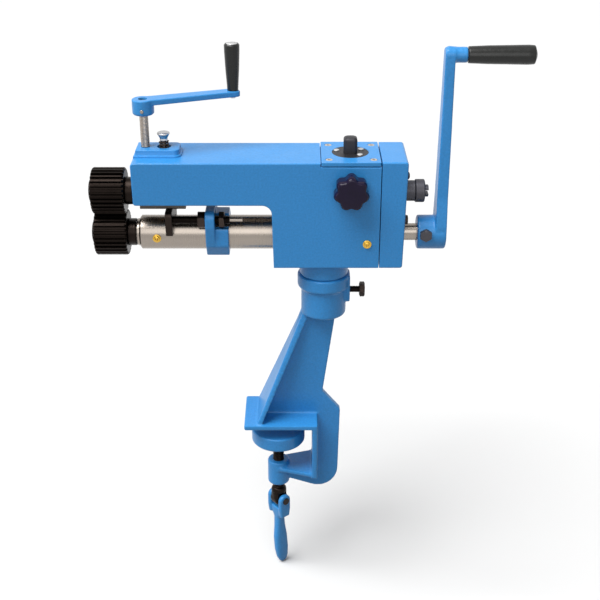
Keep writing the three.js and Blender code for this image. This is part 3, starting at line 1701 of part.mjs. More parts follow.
const pieces = [
  ["clamp_stand", clampStand, paint.enamel],
  ["swivel_lock_bolt", swivelLockBolt, paint.blackSteel],
  ["clamp_pad", clampPad, paint.enamel],
  ["clamp_screw", clampScrew, paint.blackSteel],
  ["clamp_lever_pin", clampLeverPin, paint.blackSteel],
  ["clamp_lever", clampLever, paint.enamel],
  ["swivel_spigot", swivelSpigot, paint.enamel],
  ["head_casting", headCasting, paint.enamel],
  ["gear_cover", gearCover, paint.enamel],
  ["cover_bolt", coverBolt, paint.blackSteel],
  ["cover_screw_front", () => coverScrew(-1), paint.blackSteel],
  ["cover_screw_back", () => coverScrew(1), paint.blackSteel],
  ["top_plate", topPlate, paint.enamel],
  ...plateScrewPlaces.map(([x, y], i) => [
    `top_plate_screw_${i + 1}`,
    () => topPlateScrew(x, y),
    paint.blackSteel,
  ]),
  ["aligner_disc", alignerDisc, paint.blackSteel],
  ...alignerScrewPlaces.map(([x, y], i) => [
    `aligner_screw_${i + 1}`,
    () => alignerScrew(x, y),
    paint.brightSteel,
  ]),
  ["star_knob", starKnob, paint.blackPlastic],
  ["star_knob_stud", starKnobStud, paint.blackSteel],
  ["lower_sleeve", lowerSleeve, paint.brightSteel],
  ["lower_front_bush", lowerFrontBush, paint.brightSteel],
  ["lower_rear_bush", lowerRearBush, paint.bronze],
  ["sleeve_oiler", sleeveOiler, paint.brass],
  ["body_oiler", bodyOiler, paint.brass],
  ["lower_shaft", lowerShaft, paint.brightSteel],
  ["lower_roll", () => roll(lowerZ, 0), paint.blackSteel],
  ["lower_roll_screw", () => rollScrew(lowerZ), paint.blackSteel],
  ["lower_collar", () => rollCollar(lowerCollarLength, lowerZ), paint.blackSteel],
  ["lower_gear", () => gear(lowerZ, 0), paint.castIron],
  ["crank_arm", crankArm, paint.enamel],
  ["crank_set_screw", crankSetScrew, paint.blackSteel],
  ["crank_spindle", crankSpindle, paint.brightSteel],
  ["crank_grip", crankGrip, paint.blackPlastic],
  ["rear_bearing_sleeve", rearBearingSleeve, paint.castIron],
  ["rear_bush", rearBush, paint.bronze],
  ["upper_shaft", upperShaft, paint.brightSteel],
  ["upper_roll", () => roll(upperZ, 0.5), paint.blackSteel],
  ["upper_roll_screw", () => rollScrew(upperZ), paint.blackSteel],
  ["upper_collar", () => rollCollar(upperCollarLength, upperZ), paint.blackSteel],
  ["upper_gear", () => gear(upperZ, 0.5), paint.castIron],
  ["rear_spacer", rearSpacer, paint.blackSteel],
  ["rear_lock_nut", rearLockNut, paint.blackSteel],
  ["bearing_block", bearingBlock, paint.castIron],
  ["block_bush", blockBush, paint.bronze],
  ["block_screw", blockScrew, paint.blackSteel],
  ["lift_bolt", liftBolt, paint.plated],
  ["lift_spring", liftSpring, paint.blackSteel],
  ["pressure_screw", pressureScrew, paint.brightSteel],
  ["pressure_crank", pressureCrank, paint.enamel],
  ["pressure_hub_pin", pressureHubPin, paint.brightSteel],
  ["pressure_grip", pressureGrip, paint.blackPlastic],
  ["pressure_grip_screw", pressureGripScrew, paint.brightSteel],
  ["gauge_carriage", gaugeCarriage, paint.enamel],
  ["gauge_stop", gaugeStop, paint.blackSteel],
  ["gauge_rod", gaugeRod, paint.brightSteel],
  ["gauge_nut_left", () => gaugeNut(gaugeX0 - gaugeNutLeftThick, gaugeNutLeftThick), paint.blackSteel],
  ["gauge_nut_right", () => gaugeNut(gaugeWallX1 + gaugeNutRightGap, gaugeNutRightThick), paint.blackSteel],
];

const assembly = new THREE.Group();
assembly.name = "bead_roller";
for (const [name, make, material] of pieces) {
  const mesh = make().getMesh();
  const g = new THREE.BufferGeometry();
  g.setAttribute("position", new THREE.Float32BufferAttribute(mesh.vertProperties, 3));
  g.setIndex(new THREE.Uint32BufferAttribute(mesh.triVerts, 1));
  const flat = g.toNonIndexed();
  flat.computeVertexNormals();
  const node = new THREE.Mesh(flat, material());
  node.name = name;
  assembly.add(node);
}

console.log(`lift_spring: least gap to itself ${springLeastGap().toFixed(2)} mm`);

export default assembly;
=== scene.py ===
"""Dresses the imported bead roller: painted castings, turned steel, moulded knobs and a pale studio."""

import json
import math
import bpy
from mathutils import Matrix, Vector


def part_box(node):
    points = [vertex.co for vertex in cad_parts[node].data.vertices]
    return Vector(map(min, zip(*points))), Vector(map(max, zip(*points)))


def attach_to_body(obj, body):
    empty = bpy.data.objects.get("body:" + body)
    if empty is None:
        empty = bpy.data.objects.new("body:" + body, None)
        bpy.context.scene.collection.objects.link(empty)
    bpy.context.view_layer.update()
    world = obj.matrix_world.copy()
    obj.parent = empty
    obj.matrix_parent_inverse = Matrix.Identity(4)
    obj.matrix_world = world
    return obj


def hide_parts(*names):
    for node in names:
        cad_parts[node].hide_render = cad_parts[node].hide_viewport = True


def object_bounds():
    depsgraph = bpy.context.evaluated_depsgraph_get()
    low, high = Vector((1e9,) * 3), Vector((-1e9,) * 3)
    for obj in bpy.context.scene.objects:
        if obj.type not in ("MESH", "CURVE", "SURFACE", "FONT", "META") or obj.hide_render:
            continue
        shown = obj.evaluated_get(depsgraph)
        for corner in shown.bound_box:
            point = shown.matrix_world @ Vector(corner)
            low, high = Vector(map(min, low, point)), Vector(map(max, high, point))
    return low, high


bl_info = {
    "name": "Bench Bead Roller",
    "version": (1, 0, 0),
    "blender": (4, 5, 0),
    "location": "View3D > Sidebar > Bead Roller",
    "description": "Builds the visible pieces of a hand-cranked bead roller round its packed frame",
    "category": "Add Mesh",
}

import bmesh
import bpy
import numpy as np
from bpy.props import FloatProperty, FloatVectorProperty, PointerProperty

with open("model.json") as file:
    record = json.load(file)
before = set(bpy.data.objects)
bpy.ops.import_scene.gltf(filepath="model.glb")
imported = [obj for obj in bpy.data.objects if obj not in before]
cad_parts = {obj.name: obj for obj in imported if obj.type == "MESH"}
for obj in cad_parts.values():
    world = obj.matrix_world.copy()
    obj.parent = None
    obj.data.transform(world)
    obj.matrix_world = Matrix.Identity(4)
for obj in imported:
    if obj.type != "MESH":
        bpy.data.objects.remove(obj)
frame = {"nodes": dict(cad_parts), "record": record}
CAD_LOW, CAD_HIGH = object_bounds()

MM = 0.001
BODY_OF = {node: body for body, nodes in frame["record"]["behaviour"]["bodies"].items() for node in nodes}

# Sizes in mm, and one angle in radians, that several pieces share
OVER = 1.0  # how far a cutting tool reaches past the face that it opens
FIT = 0.05  # radial gap round a piece that is fixed in its bore
BOSS_RISE = 8.0  # the nose boss above the arm
CLAMP_SCREW_RADIUS = 7.0
LEVER_TURN = math.radians(-50 - 90)  # the clamp lever's pin, from the Y axis, about the screw
SLEEVE_BORE = 13.3
SHAFT_RADIUS = 11.0
GAUGE_ROD_RADIUS = 5.0


class Place:
    """A node's box in millimetres: its low and high corners, middle and size."""

    def __init__(self, node):
        low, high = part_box(node)
        self.low = np.array(low) / MM
        self.high = np.array(high) / MM
        self.mid = (self.low + self.high) / 2
        self.size = self.high - self.low


class HeadLines:
    """The head's faces and axes, in mm, that its pieces share."""

    def __init__(self):
        casting = Place("head_casting")
        self.nose, self.seam = casting.low[0], casting.high[0]
        self.foot, self.boss_top = casting.low[2], casting.high[2]
        self.arm_top = self.boss_top - BOSS_RISE
        self.half = casting.size[1] / 2
        self.seat = Place("top_plate").low[2]
        self.lower_z = Place("lower_sleeve").mid[2]
        self.upper_z = Place("rear_bearing_sleeve").mid[2]
        self.disc_x = Place("aligner_disc").mid[0]


def linear(code):
    """The linear colour of an sRGB hex code: ((c + 0.055) / 1.055) ** 2.4, or c / 12.92 in the toe."""
    shares = [int(code[i : i + 2], 16) / 255 for i in (0, 2, 4)]
    return tuple(c / 12.92 if c <= 0.04045 else ((c + 0.055) / 1.055) ** 2.4 for c in shares)


def length(name, millimetres, description):
    """A length setting, kept in metres."""
    return FloatProperty(name=name, description=description, default=millimetres * MM, min=0.0, unit="LENGTH")


def colour(name, code, description):
    """A colour setting, written as an sRGB hex code and kept linear."""
    start = linear(code)
    kept = {"default": start, "min": 0, "max": 1, "subtype": "COLOR"}
    return FloatVectorProperty(name=name, description=description, **kept)


class RollerSizes(bpy.types.PropertyGroup):
    """How the castings are finished, and sizes of the turned and threaded pieces."""

    edge: length("Casting edge", 1.3, "Radius of the head casting's outer edges")
    cover_edge: length("Cover edge", 1.6, "Radius of the gear cover's outer edges")
    gap: length("Gap", 0.85, "Groove that shows where two castings meet")
    skin: length("Sand skin", 1.15, "Grid of the skin that rounds the sand-cast stand")
    arm_skin: length("Fine skin", 0.85, "Grid of the skin that rounds the smaller castings")
    break_edge: length("Broken edge", 0.5, "Radius that takes the sharpness off a turned piece's edges")
    coarse_pitch: length("Coarse pitch", 2.0, "Thread pitch of the clamp screw")
    fine_pitch: length("Fine pitch", 1.5, "Thread pitch of the pressure screw and gauge rod")
    thread_depth: length("Thread depth", 0.75, "Depth of the threads")
    knob_radius: length("Knob radius", 20.3, "Radius of the star knob at the tip of a lobe")
    knob_waist: length("Knob waist", 3.2, "How far the star knob's outline dips between its lobes")


class FinishColours(bpy.types.PropertyGroup):
    """Colours of the finishes."""

    enamel: colour("Enamel", "3083C3", "Sprayed blue enamel")
    black_steel: colour("Blacked steel", "3A322E", "Chemically blacked steel")
    bright_steel: colour("Bright steel", "9A9188", "Ground and polished steel")
    plating: colour("Plating", "BEBEBE", "Bright nickel plating")
    brass: colour("Brass", "CDA548", "Bright brass")
    bronze: colour("Bronze", "A87B46", "Bearing bronze")
    plastic: colour("Plastic", "150A26", "Glossy moulded plastic")
    black_plastic: colour("Black plastic", "121311", "Plain black plastic of the grips")
    phosphate: colour("Phosphated steel", "47464B", "Grey of the nuts and the alignment disc")
    iron: colour("Cast iron", "59544F", "Machined cast iron")
    worn_steel: colour("Worn steel", "B5ADA2", "Steel whose black has rubbed off")
    floor: colour("Floor", "D2D2D2", "Pale studio floor")


def size(name):
    """A length setting in mm."""
    return getattr(bpy.context.scene.bead_sizes, name) / MM


def shade(name):
    """A colour setting as three linear shares."""
    return tuple(getattr(bpy.context.scene.bead_colours, name))


# Outlines


def eased(corners, steps=6, closed=True, hold=0.0):
    """An outline whose corners [a, b, radius] become arcs tangent to both sides.

    The arc's centre lies on the corner's bisector, radius / sin(half angle) from it, and the arc starts
    radius / tan(half angle) from the corner, or nearly half way along the shorter side where that is nearer.
    hold adds a point that far past each end, where the side has room, so that flats shade flat.
    """
    most, room, straight = 0.499, 0.48, 1.55
    points = np.array([corner[:2] for corner in corners], float)
    rows = []
    for i, here in enumerate(points):
        radius = corners[i][2] if len(corners[i]) > 2 else 0
        if radius == 0 or (not closed and i in (0, len(points) - 1)):
            rows.append(here[None])
            continue
        last, after = points[i - 1] - here, points[(i + 1) % len(points)] - here
        to_last, to_next = np.linalg.norm(last), np.linalg.norm(after)
        last, after = last / to_last, after / to_next
        half = math.acos(np.clip(last @ after, -1, 1)) / 2
        if half > straight:
            rows.append(here[None])
            continue
        reach = min(radius / math.tan(half), most * to_last, most * to_next)
        bisector = (last + after) / np.linalg.norm(last + after)
        centre = here + bisector * reach * math.tan(half) / math.sin(half)
        start, stop = here + last * reach - centre, here + after * reach - centre
        turn = math.atan2(start[0] * stop[1] - start[1] * stop[0], start @ stop)
        at = np.linspace(0, turn, steps + 1)[:, None]
        if hold and to_last * room - reach > hold:
            rows.append((here + last * (reach + hold))[None])
        rows.append(centre + start * np.cos(at) + np.array([-start[1], start[0]]) * np.sin(at))
        if hold and to_next * room - reach > hold:
            rows.append((here + after * (reach + hold))[None])
    return np.concatenate(rows)


def inset(outline, distance, shares=None):
    """The outline moved inwards: each point goes to where its two sides meet once each has moved in.

    With the sides' inward normals m and n, c their dot product and d and e their distances, the point moves
    by m (d - c e) / (1 - c c) + n (e - c d) / (1 - c c), or by (m + n) d / (1 + c) where the sides run on.
    """
    after = np.roll(outline, -1, 0) - outline
    area = np.sum(outline[:, 0] * np.roll(outline[:, 1], -1) - outline[:, 1] * np.roll(outline[:, 0], -1))
    after = after / np.maximum(np.linalg.norm(after, axis=1, keepdims=True), 1e-9)
    n = (1 if area > 0 else -1) * np.stack([-after[:, 1], after[:, 0]], 1)
    m = np.roll(n, 1, 0)
    e = np.full((len(outline), 1), distance) if shares is None else distance * shares[:, None]
    d = np.roll(e, 1, 0)
    c = np.sum(m * n, axis=1, keepdims=True)
    bend = np.maximum(1 - c * c, 1e-6)
    corner = m * (d - c * e) / bend + n * (e - c * d) / bend
    return outline + np.where(c > 0.98, (m + n) * d / np.maximum(1 + c, 0.3), corner)


def polygon(radius, count, centre=(0, 0), turn=0.0):
    """A regular outline: corner k lies at the angle turn + 2 pi k / count."""
    at = turn + np.arange(count) * 2 * math.pi / count
    return np.stack([centre[0] + radius * np.cos(at), centre[1] + radius * np.sin(at)], 1)


def rectangle(a0, a1, b0, b1, radius=0.0):
    """A rectangle's corners, each with the same radius."""
    return [[a0, b0, radius], [a1, b0, radius], [a1, b1, radius], [a0, b1, radius]]


def mirrored(corners):
    """Corners followed by their mirror image across the second axis, which closes a symmetric outline."""
    return corners + [[-corner[0], *corner[1:]] for corner in corners[::-1]]


# Surfaces


def along(axis, distance, a, b):
    """Points at a distance along an axis and (a, b) across it: (y, z) for X, (x, z) for Y, (x, y) for Z."""
    distance, a, b = np.broadcast_arrays(distance, a, b)
    order = {"X": (distance, a, b), "Y": (a, distance, b), "Z": (a, b, distance)}[axis]
    return np.stack(order, -1)


def soften(piece, sharp=38):
    """Shades a piece smooth, with a hard line where two faces meet at more than sharp degrees."""
    mesh = piece.data
    mesh.polygons.foreach_set("use_smooth", np.ones(len(mesh.polygons), bool))
    mesh.set_sharp_from_angle(angle=math.radians(sharp))
    mesh.update()


def placed(name, mesh):
    """A new object that holds a mesh."""
    piece = bpy.data.objects.new(name, mesh)
    bpy.context.scene.collection.objects.link(piece)
    return piece


def skin(name, rings, closed=False):
    """Joins rings of points, in mm: point j of ring i meets point j + 1 and ring i + 1.

    The first and last rings get one face each, or meet each other where the profile is closed.
    Doubled points are merged, which closes the poles, and every face is turned outwards.
    """
    count, around = rings.shape[:2]
    index = np.arange(count * around).reshape(count, around)
    below, above = (index, np.roll(index, -1, 0)) if closed else (index[:-1], index[1:])
    quads = np.stack([below, np.roll(below, -1, 1), np.roll(above, -1, 1), above], -1).reshape(-1, 4)
    faces = quads.tolist()
    if not closed:
        faces += [index[0][::-1].tolist(), index[-1].tolist()]
    mesh = bpy.data.meshes.new(name)
    mesh.from_pydata((rings.reshape(-1, 3) * MM).tolist(), [], faces)
    work = bmesh.new()
    work.from_mesh(mesh)
    bmesh.ops.remove_doubles(work, verts=work.verts, dist=1e-6)
    bmesh.ops.dissolve_degenerate(work, dist=1e-7, edges=work.edges)
    bmesh.ops.recalc_face_normals(work, faces=work.faces)
    if work.calc_volume(signed=True) < 0:
        bmesh.ops.reverse_faces(work, faces=work.faces)
    work.to_mesh(mesh)
    work.free()
    piece = placed(name, mesh)
    soften(piece)
    return piece


def slab(name, outline, axis, low, high, edge=0.0, steps=4, seam=None):
    """Carries an outline straight along an axis and rounds both rims.

    At a height h above a rim the outline is drawn in by edge - sqrt(edge^2 - (edge - h)^2). The side that
    lies at the seam is drawn in a tenth as far, so that two castings meet in a fine groove.
    """
    outline = np.asarray(outline, float)[:, :2]
    shares = None
    if seam is not None:
        both = (np.abs(outline[:, 0] - seam) < 0.02) & (np.abs(np.roll(outline[:, 0], -1) - seam) < 0.02)
        shares = np.where(both, 0.1, 1.0)
    if edge == 0:
        return skin(name, np.stack([along(axis, h, outline[:, 0], outline[:, 1]) for h in (low, high)]))
    at = np.linspace(0, math.pi / 2, steps + 1)
    hold = min(0.4, edge)
    draw = np.concatenate([[edge + hold], edge * (1 - np.sin(at)), [0]])
    rise = np.concatenate([[0], edge * (1 - np.cos(at)), [edge + hold]])
    draws = np.concatenate([draw, draw[::-1]])
    heights = np.concatenate([low + rise, high - rise[::-1]])
    rings = [along(axis, h, *inset(outline, d, shares).T) for d, h in zip(draws, heights)]
    return skin(name, np.stack(rings))


def turned(name, profile, axis="X", centre=(0, 0), sides=96, closed=False):
    """Turns a profile [distance along the axis, radius, corner radius] about an axis through centre.

    An open profile runs straight in to the axis at both ends.
    """
    if not closed:
        profile = [[profile[0][0], 0], *profile, [profile[-1][0], 0]]
    line = eased(profile, closed=closed, hold=0.3)
    at = np.arange(sides) * 2 * math.pi / sides
    across = line[:, 1:]
    rings = along(axis, line[:, :1], centre[0] + across * np.cos(at), centre[1] + across * np.sin(at))
    return skin(name, rings, closed)


def bar(name, low, high, radius, axis="X", centre=(0, 0), sides=64):
    """A plain round bar, as a shank or to cut a hole."""
    return turned(name, [[low, radius], [high, radius]], axis, centre, sides)


def tube(name, low, high, bore, radius, edge, axis="X", centre=(0, 0), sides=96):
    """A round tube with rounded outer rims."""
    profile = [[low, bore, 0.2], [low, radius, edge], [high, radius, edge], [high, bore, 0.2]]
    return turned(name, profile, axis, centre, sides, closed=True)


def threaded(name, low, high, radius, pitch, depth, axis="X", centre=(0, 0), sides=40):
    """A threaded rod: the radius dips by depth times a rounded wave of height / pitch - angle / 2 pi.

    The thread runs out over one pitch at each end, where the rod is drawn in to its root.
    """
    heights = np.linspace(low, high, int((high - low) / pitch * 8) + 1)[:, None]
    at = np.arange(sides)[None] * 2 * math.pi / sides
    phase = (heights / pitch - at / (2 * math.pi)) % 1
    wave = 0.5 - 0.5 * np.cos(2 * math.pi * phase)
    end = np.clip(np.minimum(heights - low, high - heights) / pitch, 0, 1)
    radii = np.minimum(radius - depth * wave**1.4, radius - depth * (1 - end))
    return skin(name, along(axis, heights, centre[0] + radii * np.cos(at), centre[1] + radii * np.sin(at)))


def hexagon(name, corner_radius, axis, low, high, centre, turn=0.0, worked="high"):
    """A hexagon whose worked end is turned to a 30 degree chamfer that just bites into the flats."""
    outline = eased([[a, b, 0.4] for a, b in polygon(corner_radius, 6, centre, turn)], steps=2)
    head = slab(name, outline, axis, low, high, 0.25, 2)
    face = corner_radius * math.cos(math.pi / 6) * 0.96
    deep = (corner_radius - face) * math.tan(math.pi / 6)
    end, far, out = (high, low, 1) if worked == "high" else (low, high, -1)
    cone = [[far - out, corner_radius * 1.2], [end - out * deep, corner_radius * 1.01], [end, face]]
    return carve(head, [turned("chamfer", cone[::out], axis, centre, 64)], "INTERSECT")


def toothed(name, low, high, teeth, radii, shares, chamfer, bore, phase, centre, steps=5):
    """A toothed wheel about X: the radius is the tip's or the root's, and runs straight between them over the
    flank, less a slight ease at both ends.

    radii are (tip, root) and shares the widths of tooth and gap foot, as parts of a pitch. Both faces are
    chamfered, so each ring's radius is also held under the chamfer's.
    """
    tip, root = radii
    tip_half, root_half = shares[0] / 2, shares[1] / 2
    flank = np.linspace(-root_half, -tip_half, steps + 1)
    side = np.concatenate([[-0.5, -root_half - 0.03], flank, [-tip_half + 0.025]])
    station = np.concatenate([side, [0], -side[:0:-1]])
    climb = np.clip((root_half - np.abs(station)) / (root_half - tip_half), 0, 1)
    climb = climb - 0.06 * np.sin(2 * math.pi * climb)
    radius = np.tile(root + (tip - root) * climb, teeth)
    at = ((np.arange(teeth)[:, None] + phase + station[None]) * 2 * math.pi / teeth).ravel()
    face = np.array([[0.3, bore], [0, bore + 0.3], [0, root - 1.2], [0, tip - chamfer],
                     [chamfer * 0.5, tip - chamfer * 0.32], [chamfer, tip + 1], [chamfer + 0.6, tip + 1]])
    rows = np.concatenate([face + [low, 0], (face * [-1, 1] + [high, 0])[::-1]])
    held = np.minimum(radius[None], rows[:, 1:])
    rings = along("X", rows[:, :1], centre[0] + held * np.cos(at), centre[1] + held * np.sin(at))
    return skin(name, rings, closed=True)


def settle(piece, sharp=38):
    """Works a piece's modifiers into its mesh."""
    graph = bpy.context.evaluated_depsgraph_get()
    done = bpy.data.meshes.new_from_object(piece.evaluated_get(graph))
    piece.modifiers.clear()
    piece.data = done
    soften(piece, sharp)
    return piece


def volume(piece):
    """The volume that a piece's mesh encloses."""
    work = bmesh.new()
    work.from_mesh(piece.data)
    inside = work.calc_volume(signed=True)
    work.free()
    return inside


def remove(pieces):
    """Removes helper pieces."""
    for piece in pieces:
        bpy.data.objects.remove(piece, do_unlink=True)


def carve(piece, tools, operation="DIFFERENCE"):
    """Cuts a piece with closed tools, or joins or crosses it with them, and removes the tools."""
    for tool in tools:
        cut = piece.modifiers.new("cut", "BOOLEAN")
        cut.operation = operation
        cut.solver = "EXACT"
        cut.object = tool
    before = volume(piece)
    settle(piece)
    least_share = 0.2 if operation == "INTERSECT" else 0.3
    if volume(piece) < least_share * before:
        raise RuntimeError(f"{piece.name}: the cut left too little of the piece")
    remove(tools)
    return piece


def cast(name, bodies, grid, passes):
    """One rounded skin over bodies that overlap, like a sand casting: a voxel skin of the given grid, in mm,
    then passes of smoothing that ease inner and outer corners alike."""
    joined = bmesh.new()
    for body in bodies:
        joined.from_mesh(body.data)
    mesh = bpy.data.meshes.new(name)
    joined.to_mesh(mesh)
    joined.free()
    remove(bodies)
    piece = placed(name, mesh)
    remesh = piece.modifiers.new("skin", "REMESH")
    remesh.mode = "VOXEL"
    remesh.voxel_size = grid * MM
    ease = piece.modifiers.new("ease", "SMOOTH")
    ease.factor = 0.5
    ease.iterations = passes
    return settle(piece, sharp=60)


def moved(piece, angle, by=(0, 0, 0)):
    """Turns a piece's mesh about Z, to x cos a - y sin a and x sin a + y cos a, then moves it by mm."""
    mesh = piece.data
    points = np.empty(len(mesh.vertices) * 3)
    mesh.vertices.foreach_get("co", points)
    x, y, z = points.reshape(-1, 3).T
    cos, sin = math.cos(angle), math.sin(angle)
    points = np.stack([x * cos - y * sin, x * sin + y * cos, z], 1) + np.array(by) * MM
    mesh.vertices.foreach_set("co", points.ravel())
    mesh.update()
    return piece


def outfit(piece, node, look):
    """Lets a piece stand for a node: it rides on the node's body, hides the node and takes a finish."""
    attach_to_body(piece, BODY_OF[node])
    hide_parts(node)
    piece.data.materials.clear()
    piece.data.materials.append(finish(look))
    return piece


def attach(piece, node, look):
    """Lets a bright steel piece that the frame doesn't hold ride with a node, and gives it a finish."""
    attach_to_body(piece, BODY_OF[node])
    piece.data.materials.append(finish(look))


def dress(node, look):
    """Gives a node that keeps its own shape a finish."""
    for slot in frame["nodes"][node].material_slots:
        slot.material = finish(look)


# Finishes


def add(tree, kind, settings=None, inputs=None):
    """Adds a node, sets its settings, and gives each input a value or the output it is linked from."""
    made = tree.nodes.new(kind)
    for key, value in (settings or {}).items():
        setattr(made, key, value)
    for key, value in (inputs or {}).items():
        if isinstance(value, bpy.types.NodeSocket):
            tree.links.new(value, made.inputs[key])
        else:
            made.inputs[key].default_value = value
    return made


def emptied(made):
    """The node tree of a new material or world, with nothing in it."""
    made.use_nodes = True
    made.node_tree.nodes.clear()
    return made.node_tree


def grain(tree, blob, detail=2.0, stretch=(1, 1, 1)):
    """Noise in object coordinates whose blobs are about blob mm across, drawn out by stretch."""
    place = add(tree, "ShaderNodeTexCoord")
    parts = {0: place.outputs["Object"], 1: stretch}
    drawn = add(tree, "ShaderNodeVectorMath", {"operation": "DIVIDE"}, parts)
    wanted = {"Vector": drawn.outputs["Vector"], "Scale": 1 / (blob * MM), "Detail": detail, "Roughness": 0.5}
    return add(tree, "ShaderNodeTexNoise", inputs=wanted).outputs["Fac"]


def ramp(tree, factor, low, high, start=0.3, stop=0.7):
    """A value that runs from low to high as the factor goes from start to stop."""
    wanted = {"Value": factor, "From Min": start, "From Max": stop, "To Min": low, "To Max": high}
    return add(tree, "ShaderNodeMapRange", inputs=wanted).outputs["Result"]


def shades(tree, factor, dark, light):
    """A colour that runs from dark to light with a factor."""
    ends = {0: factor, 6: (*dark, 1), 7: (*light, 1)}
    return add(tree, "ShaderNodeMix", {"data_type": "RGBA"}, ends).outputs[2]


def scaled(tint, share):
    """A colour made darker or lighter, held under one."""
    return tuple(min(c * share, 1.0) for c in tint)


def relief(tree, height, depth):
    """A normal from a height that is depth mm tall."""
    wanted = {"Height": height, "Distance": depth * MM, "Strength": 1.0}
    return add(tree, "ShaderNodeBump", inputs=wanted).outputs["Normal"]


def enamel(tree, peel, depth, rough):
    """Enamel's inputs: ripples of peel mm break reflections up, and the blue is deeper where it ran thick."""
    base = shade("enamel")
    return {
        "Base Color": shades(tree, grain(tree, 2.2, 3), scaled(base, 0.8), scaled(base, 1.2)),
        "Roughness": ramp(tree, grain(tree, 26, 3), rough - 0.03, rough + 0.05),
        "Normal": relief(tree, grain(tree, peel, 1.5), depth),
        "Specular IOR Level": 0.3,
        "Coat Weight": 0.1,
        "Coat Roughness": 0.12,
    }


def metal(tree, tint, rough, line, shares, axis="", depth=0.006, metallic=1.0, spread=0.14):
    """Turned metal's inputs: rings line mm apart round the axis, or a fine grain without one, that stretch
    each highlight along the piece, with faint cloudy patches of oil and handling."""
    stretch = {"X": (1, 60, 60), "Y": (60, 1, 60), "Z": (60, 60, 1), "": (1, 1, 1)}[axis]
    lines = grain(tree, line, 1.0, stretch)
    base = shade(tint)
    return {
        "Base Color": shades(tree, grain(tree, 22, 2), scaled(base, shares[0]), scaled(base, shares[1])),
        "Metallic": metallic,
        "Roughness": ramp(tree, lines, rough * (1 - spread), rough * (1 + spread)),
        "Normal": relief(tree, lines, depth),
    }


def plastic(tree, tint, rough, shine):
    """Inputs for plastic from a polished mould, with slow unevenness where the thick parts shrank in it."""
    sink = grain(tree, 7, 2)
    base = shade(tint)
    return {
        "Base Color": shades(tree, sink, scaled(base, 0.8), scaled(base, 1.25)),
        "Roughness": ramp(tree, sink, rough, rough * 1.4),
        "Normal": relief(tree, sink, 0.1),
        "Specular IOR Level": shine,
    }


BLACKED = {"tint": "black_steel", "line": 1.6, "depth": 0.012}
GROUND = {"tint": "bright_steel", "rough": 0.27, "line": 3, "shares": (0.9, 0.98), "depth": 0.0008,
          "spread": 0.04}
PLATED = {"tint": "plating", "shares": (0.94, 1.0), "depth": 0.002}
PHOSPHATED = {"tint": "phosphate", "rough": 0.46, "line": 1.6, "depth": 0.012, "metallic": 0.7}
FINISHES = {
    # Blue enamel sprayed over iron in one thick coat: a wet gloss with orange peel, ripples a few mm wide
    "sprayed_enamel": (enamel, {"peel": 3.2, "depth": 0.10, "rough": 0.34}),
    # The same on the head, its cover and the cranks, where the coat is thicker and ripples more
    "enamel_on_head": (enamel, {"peel": 3.6, "depth": 0.14, "rough": 0.34}),
    # The same over a sand casting: the sand's grain shows through as coarser, deeper unevenness
    "enamel_on_sand_casting": (enamel, {"peel": 3.6, "depth": 0.34, "rough": 0.38}),
    # Steel blacked in hot salts and oiled: nearly black, with a brown cast and a dull metal sheen
    "blacked_steel": (metal, {**BLACKED, "rough": 0.42, "shares": (0.5, 0.75)}),
    # The same on a thread, made darker all over
    "blacked_thread": (metal, {**BLACKED, "rough": 0.36, "shares": (0.3, 0.42), "axis": "Z"}),
    # The same on turned faces, which keep a smoother, deeper black
    "blacked_collar": (metal, {**BLACKED, "rough": 0.32, "shares": (0.3, 0.45), "axis": "X"}),
    # The same on the rolls, made darker as painted shade for the light that their ribs trap
    "blacked_roll": (metal, {**BLACKED, "rough": 0.38, "line": 1.5, "shares": (0.2, 0.34), "axis": "X",
                             "depth": 0.01}),
    # Nuts whose black has worn thin under the spanner, made lighter also as a painted highlight, with patchy
    # tone
    "worn_black_steel": (metal, {**BLACKED, "rough": 0.4, "shares": (0.8, 1.2)}),
    # Shafts, sleeve and screws ground and polished: warm grey with fine rings from the wheel
    **{f"ground_steel_{axis}": (metal, {**GROUND, "axis": axis}) for axis in "XYZ"},
    # Turned steel under bright nickel: a clear cold mirror with the lathe's rings just showing
    "nickel_plate": (metal, {**PLATED, "rough": 0.14, "line": 1.2, "axis": "Z"}),
    # Nickel over fine turning: bright, with a softened reflection
    "satin_nickel": (metal, {**PLATED, "rough": 0.27, "line": 1.2, "axis": "Z"}),
    # Nickel rubbed dull, which spreads the lamp's highlight over the whole head
    "rubbed_nickel": (metal, {**PLATED, "rough": 0.45, "line": 1.5, "metallic": 0.6}),
    # Small turned brass fittings, yellow and bright
    "turned_brass": (metal, {"tint": "brass", "rough": 0.2, "line": 1.2, "shares": (0.9, 1.05), "axis": "Y",
                             "depth": 0.003}),
    # Bearing bronze, bored and dulled by oil
    "bearing_bronze": (metal, {"tint": "bronze", "rough": 0.35, "line": 0.5, "shares": (0.7, 1.0),
                               "axis": "X"}),
    # Small screw heads whose black has rubbed off: pale dull steel that takes a broad soft highlight
    "worn_steel": (metal, {"tint": "worn_steel", "rough": 0.5, "line": 1.5, "shares": (0.85, 1.1),
                           "depth": 0.004, "metallic": 0.45}),
    # Steel greyed in a phosphate bath: a neutral, slightly blue dark grey, dull enough to look even
    "phosphated_steel": (metal, {**PHOSPHATED, "shares": (0.75, 1.15)}),
    # The same on the alignment disc, darker with oil
    "phosphated_disc": (metal, {**PHOSPHATED, "shares": (0.35, 0.6)}),
    # Cast iron milled and oiled: dark grey with a coarse broken sheen
    "milled_iron": (metal, {"tint": "iron", "rough": 0.45, "line": 1.6, "shares": (0.5, 0.8), "depth": 0.02}),
    # Hard plastic from a polished mould: a deep wet gloss over a nearly black, purple body
    "moulded_purple_black": (plastic, {"tint": "plastic", "rough": 0.1, "shine": 0.18}),
    # The grips' plastic, moulded like the knob's, plain black and less glossy
    "moulded_black": (plastic, {"tint": "black_plastic", "rough": 0.24, "shine": 0.35}),
}


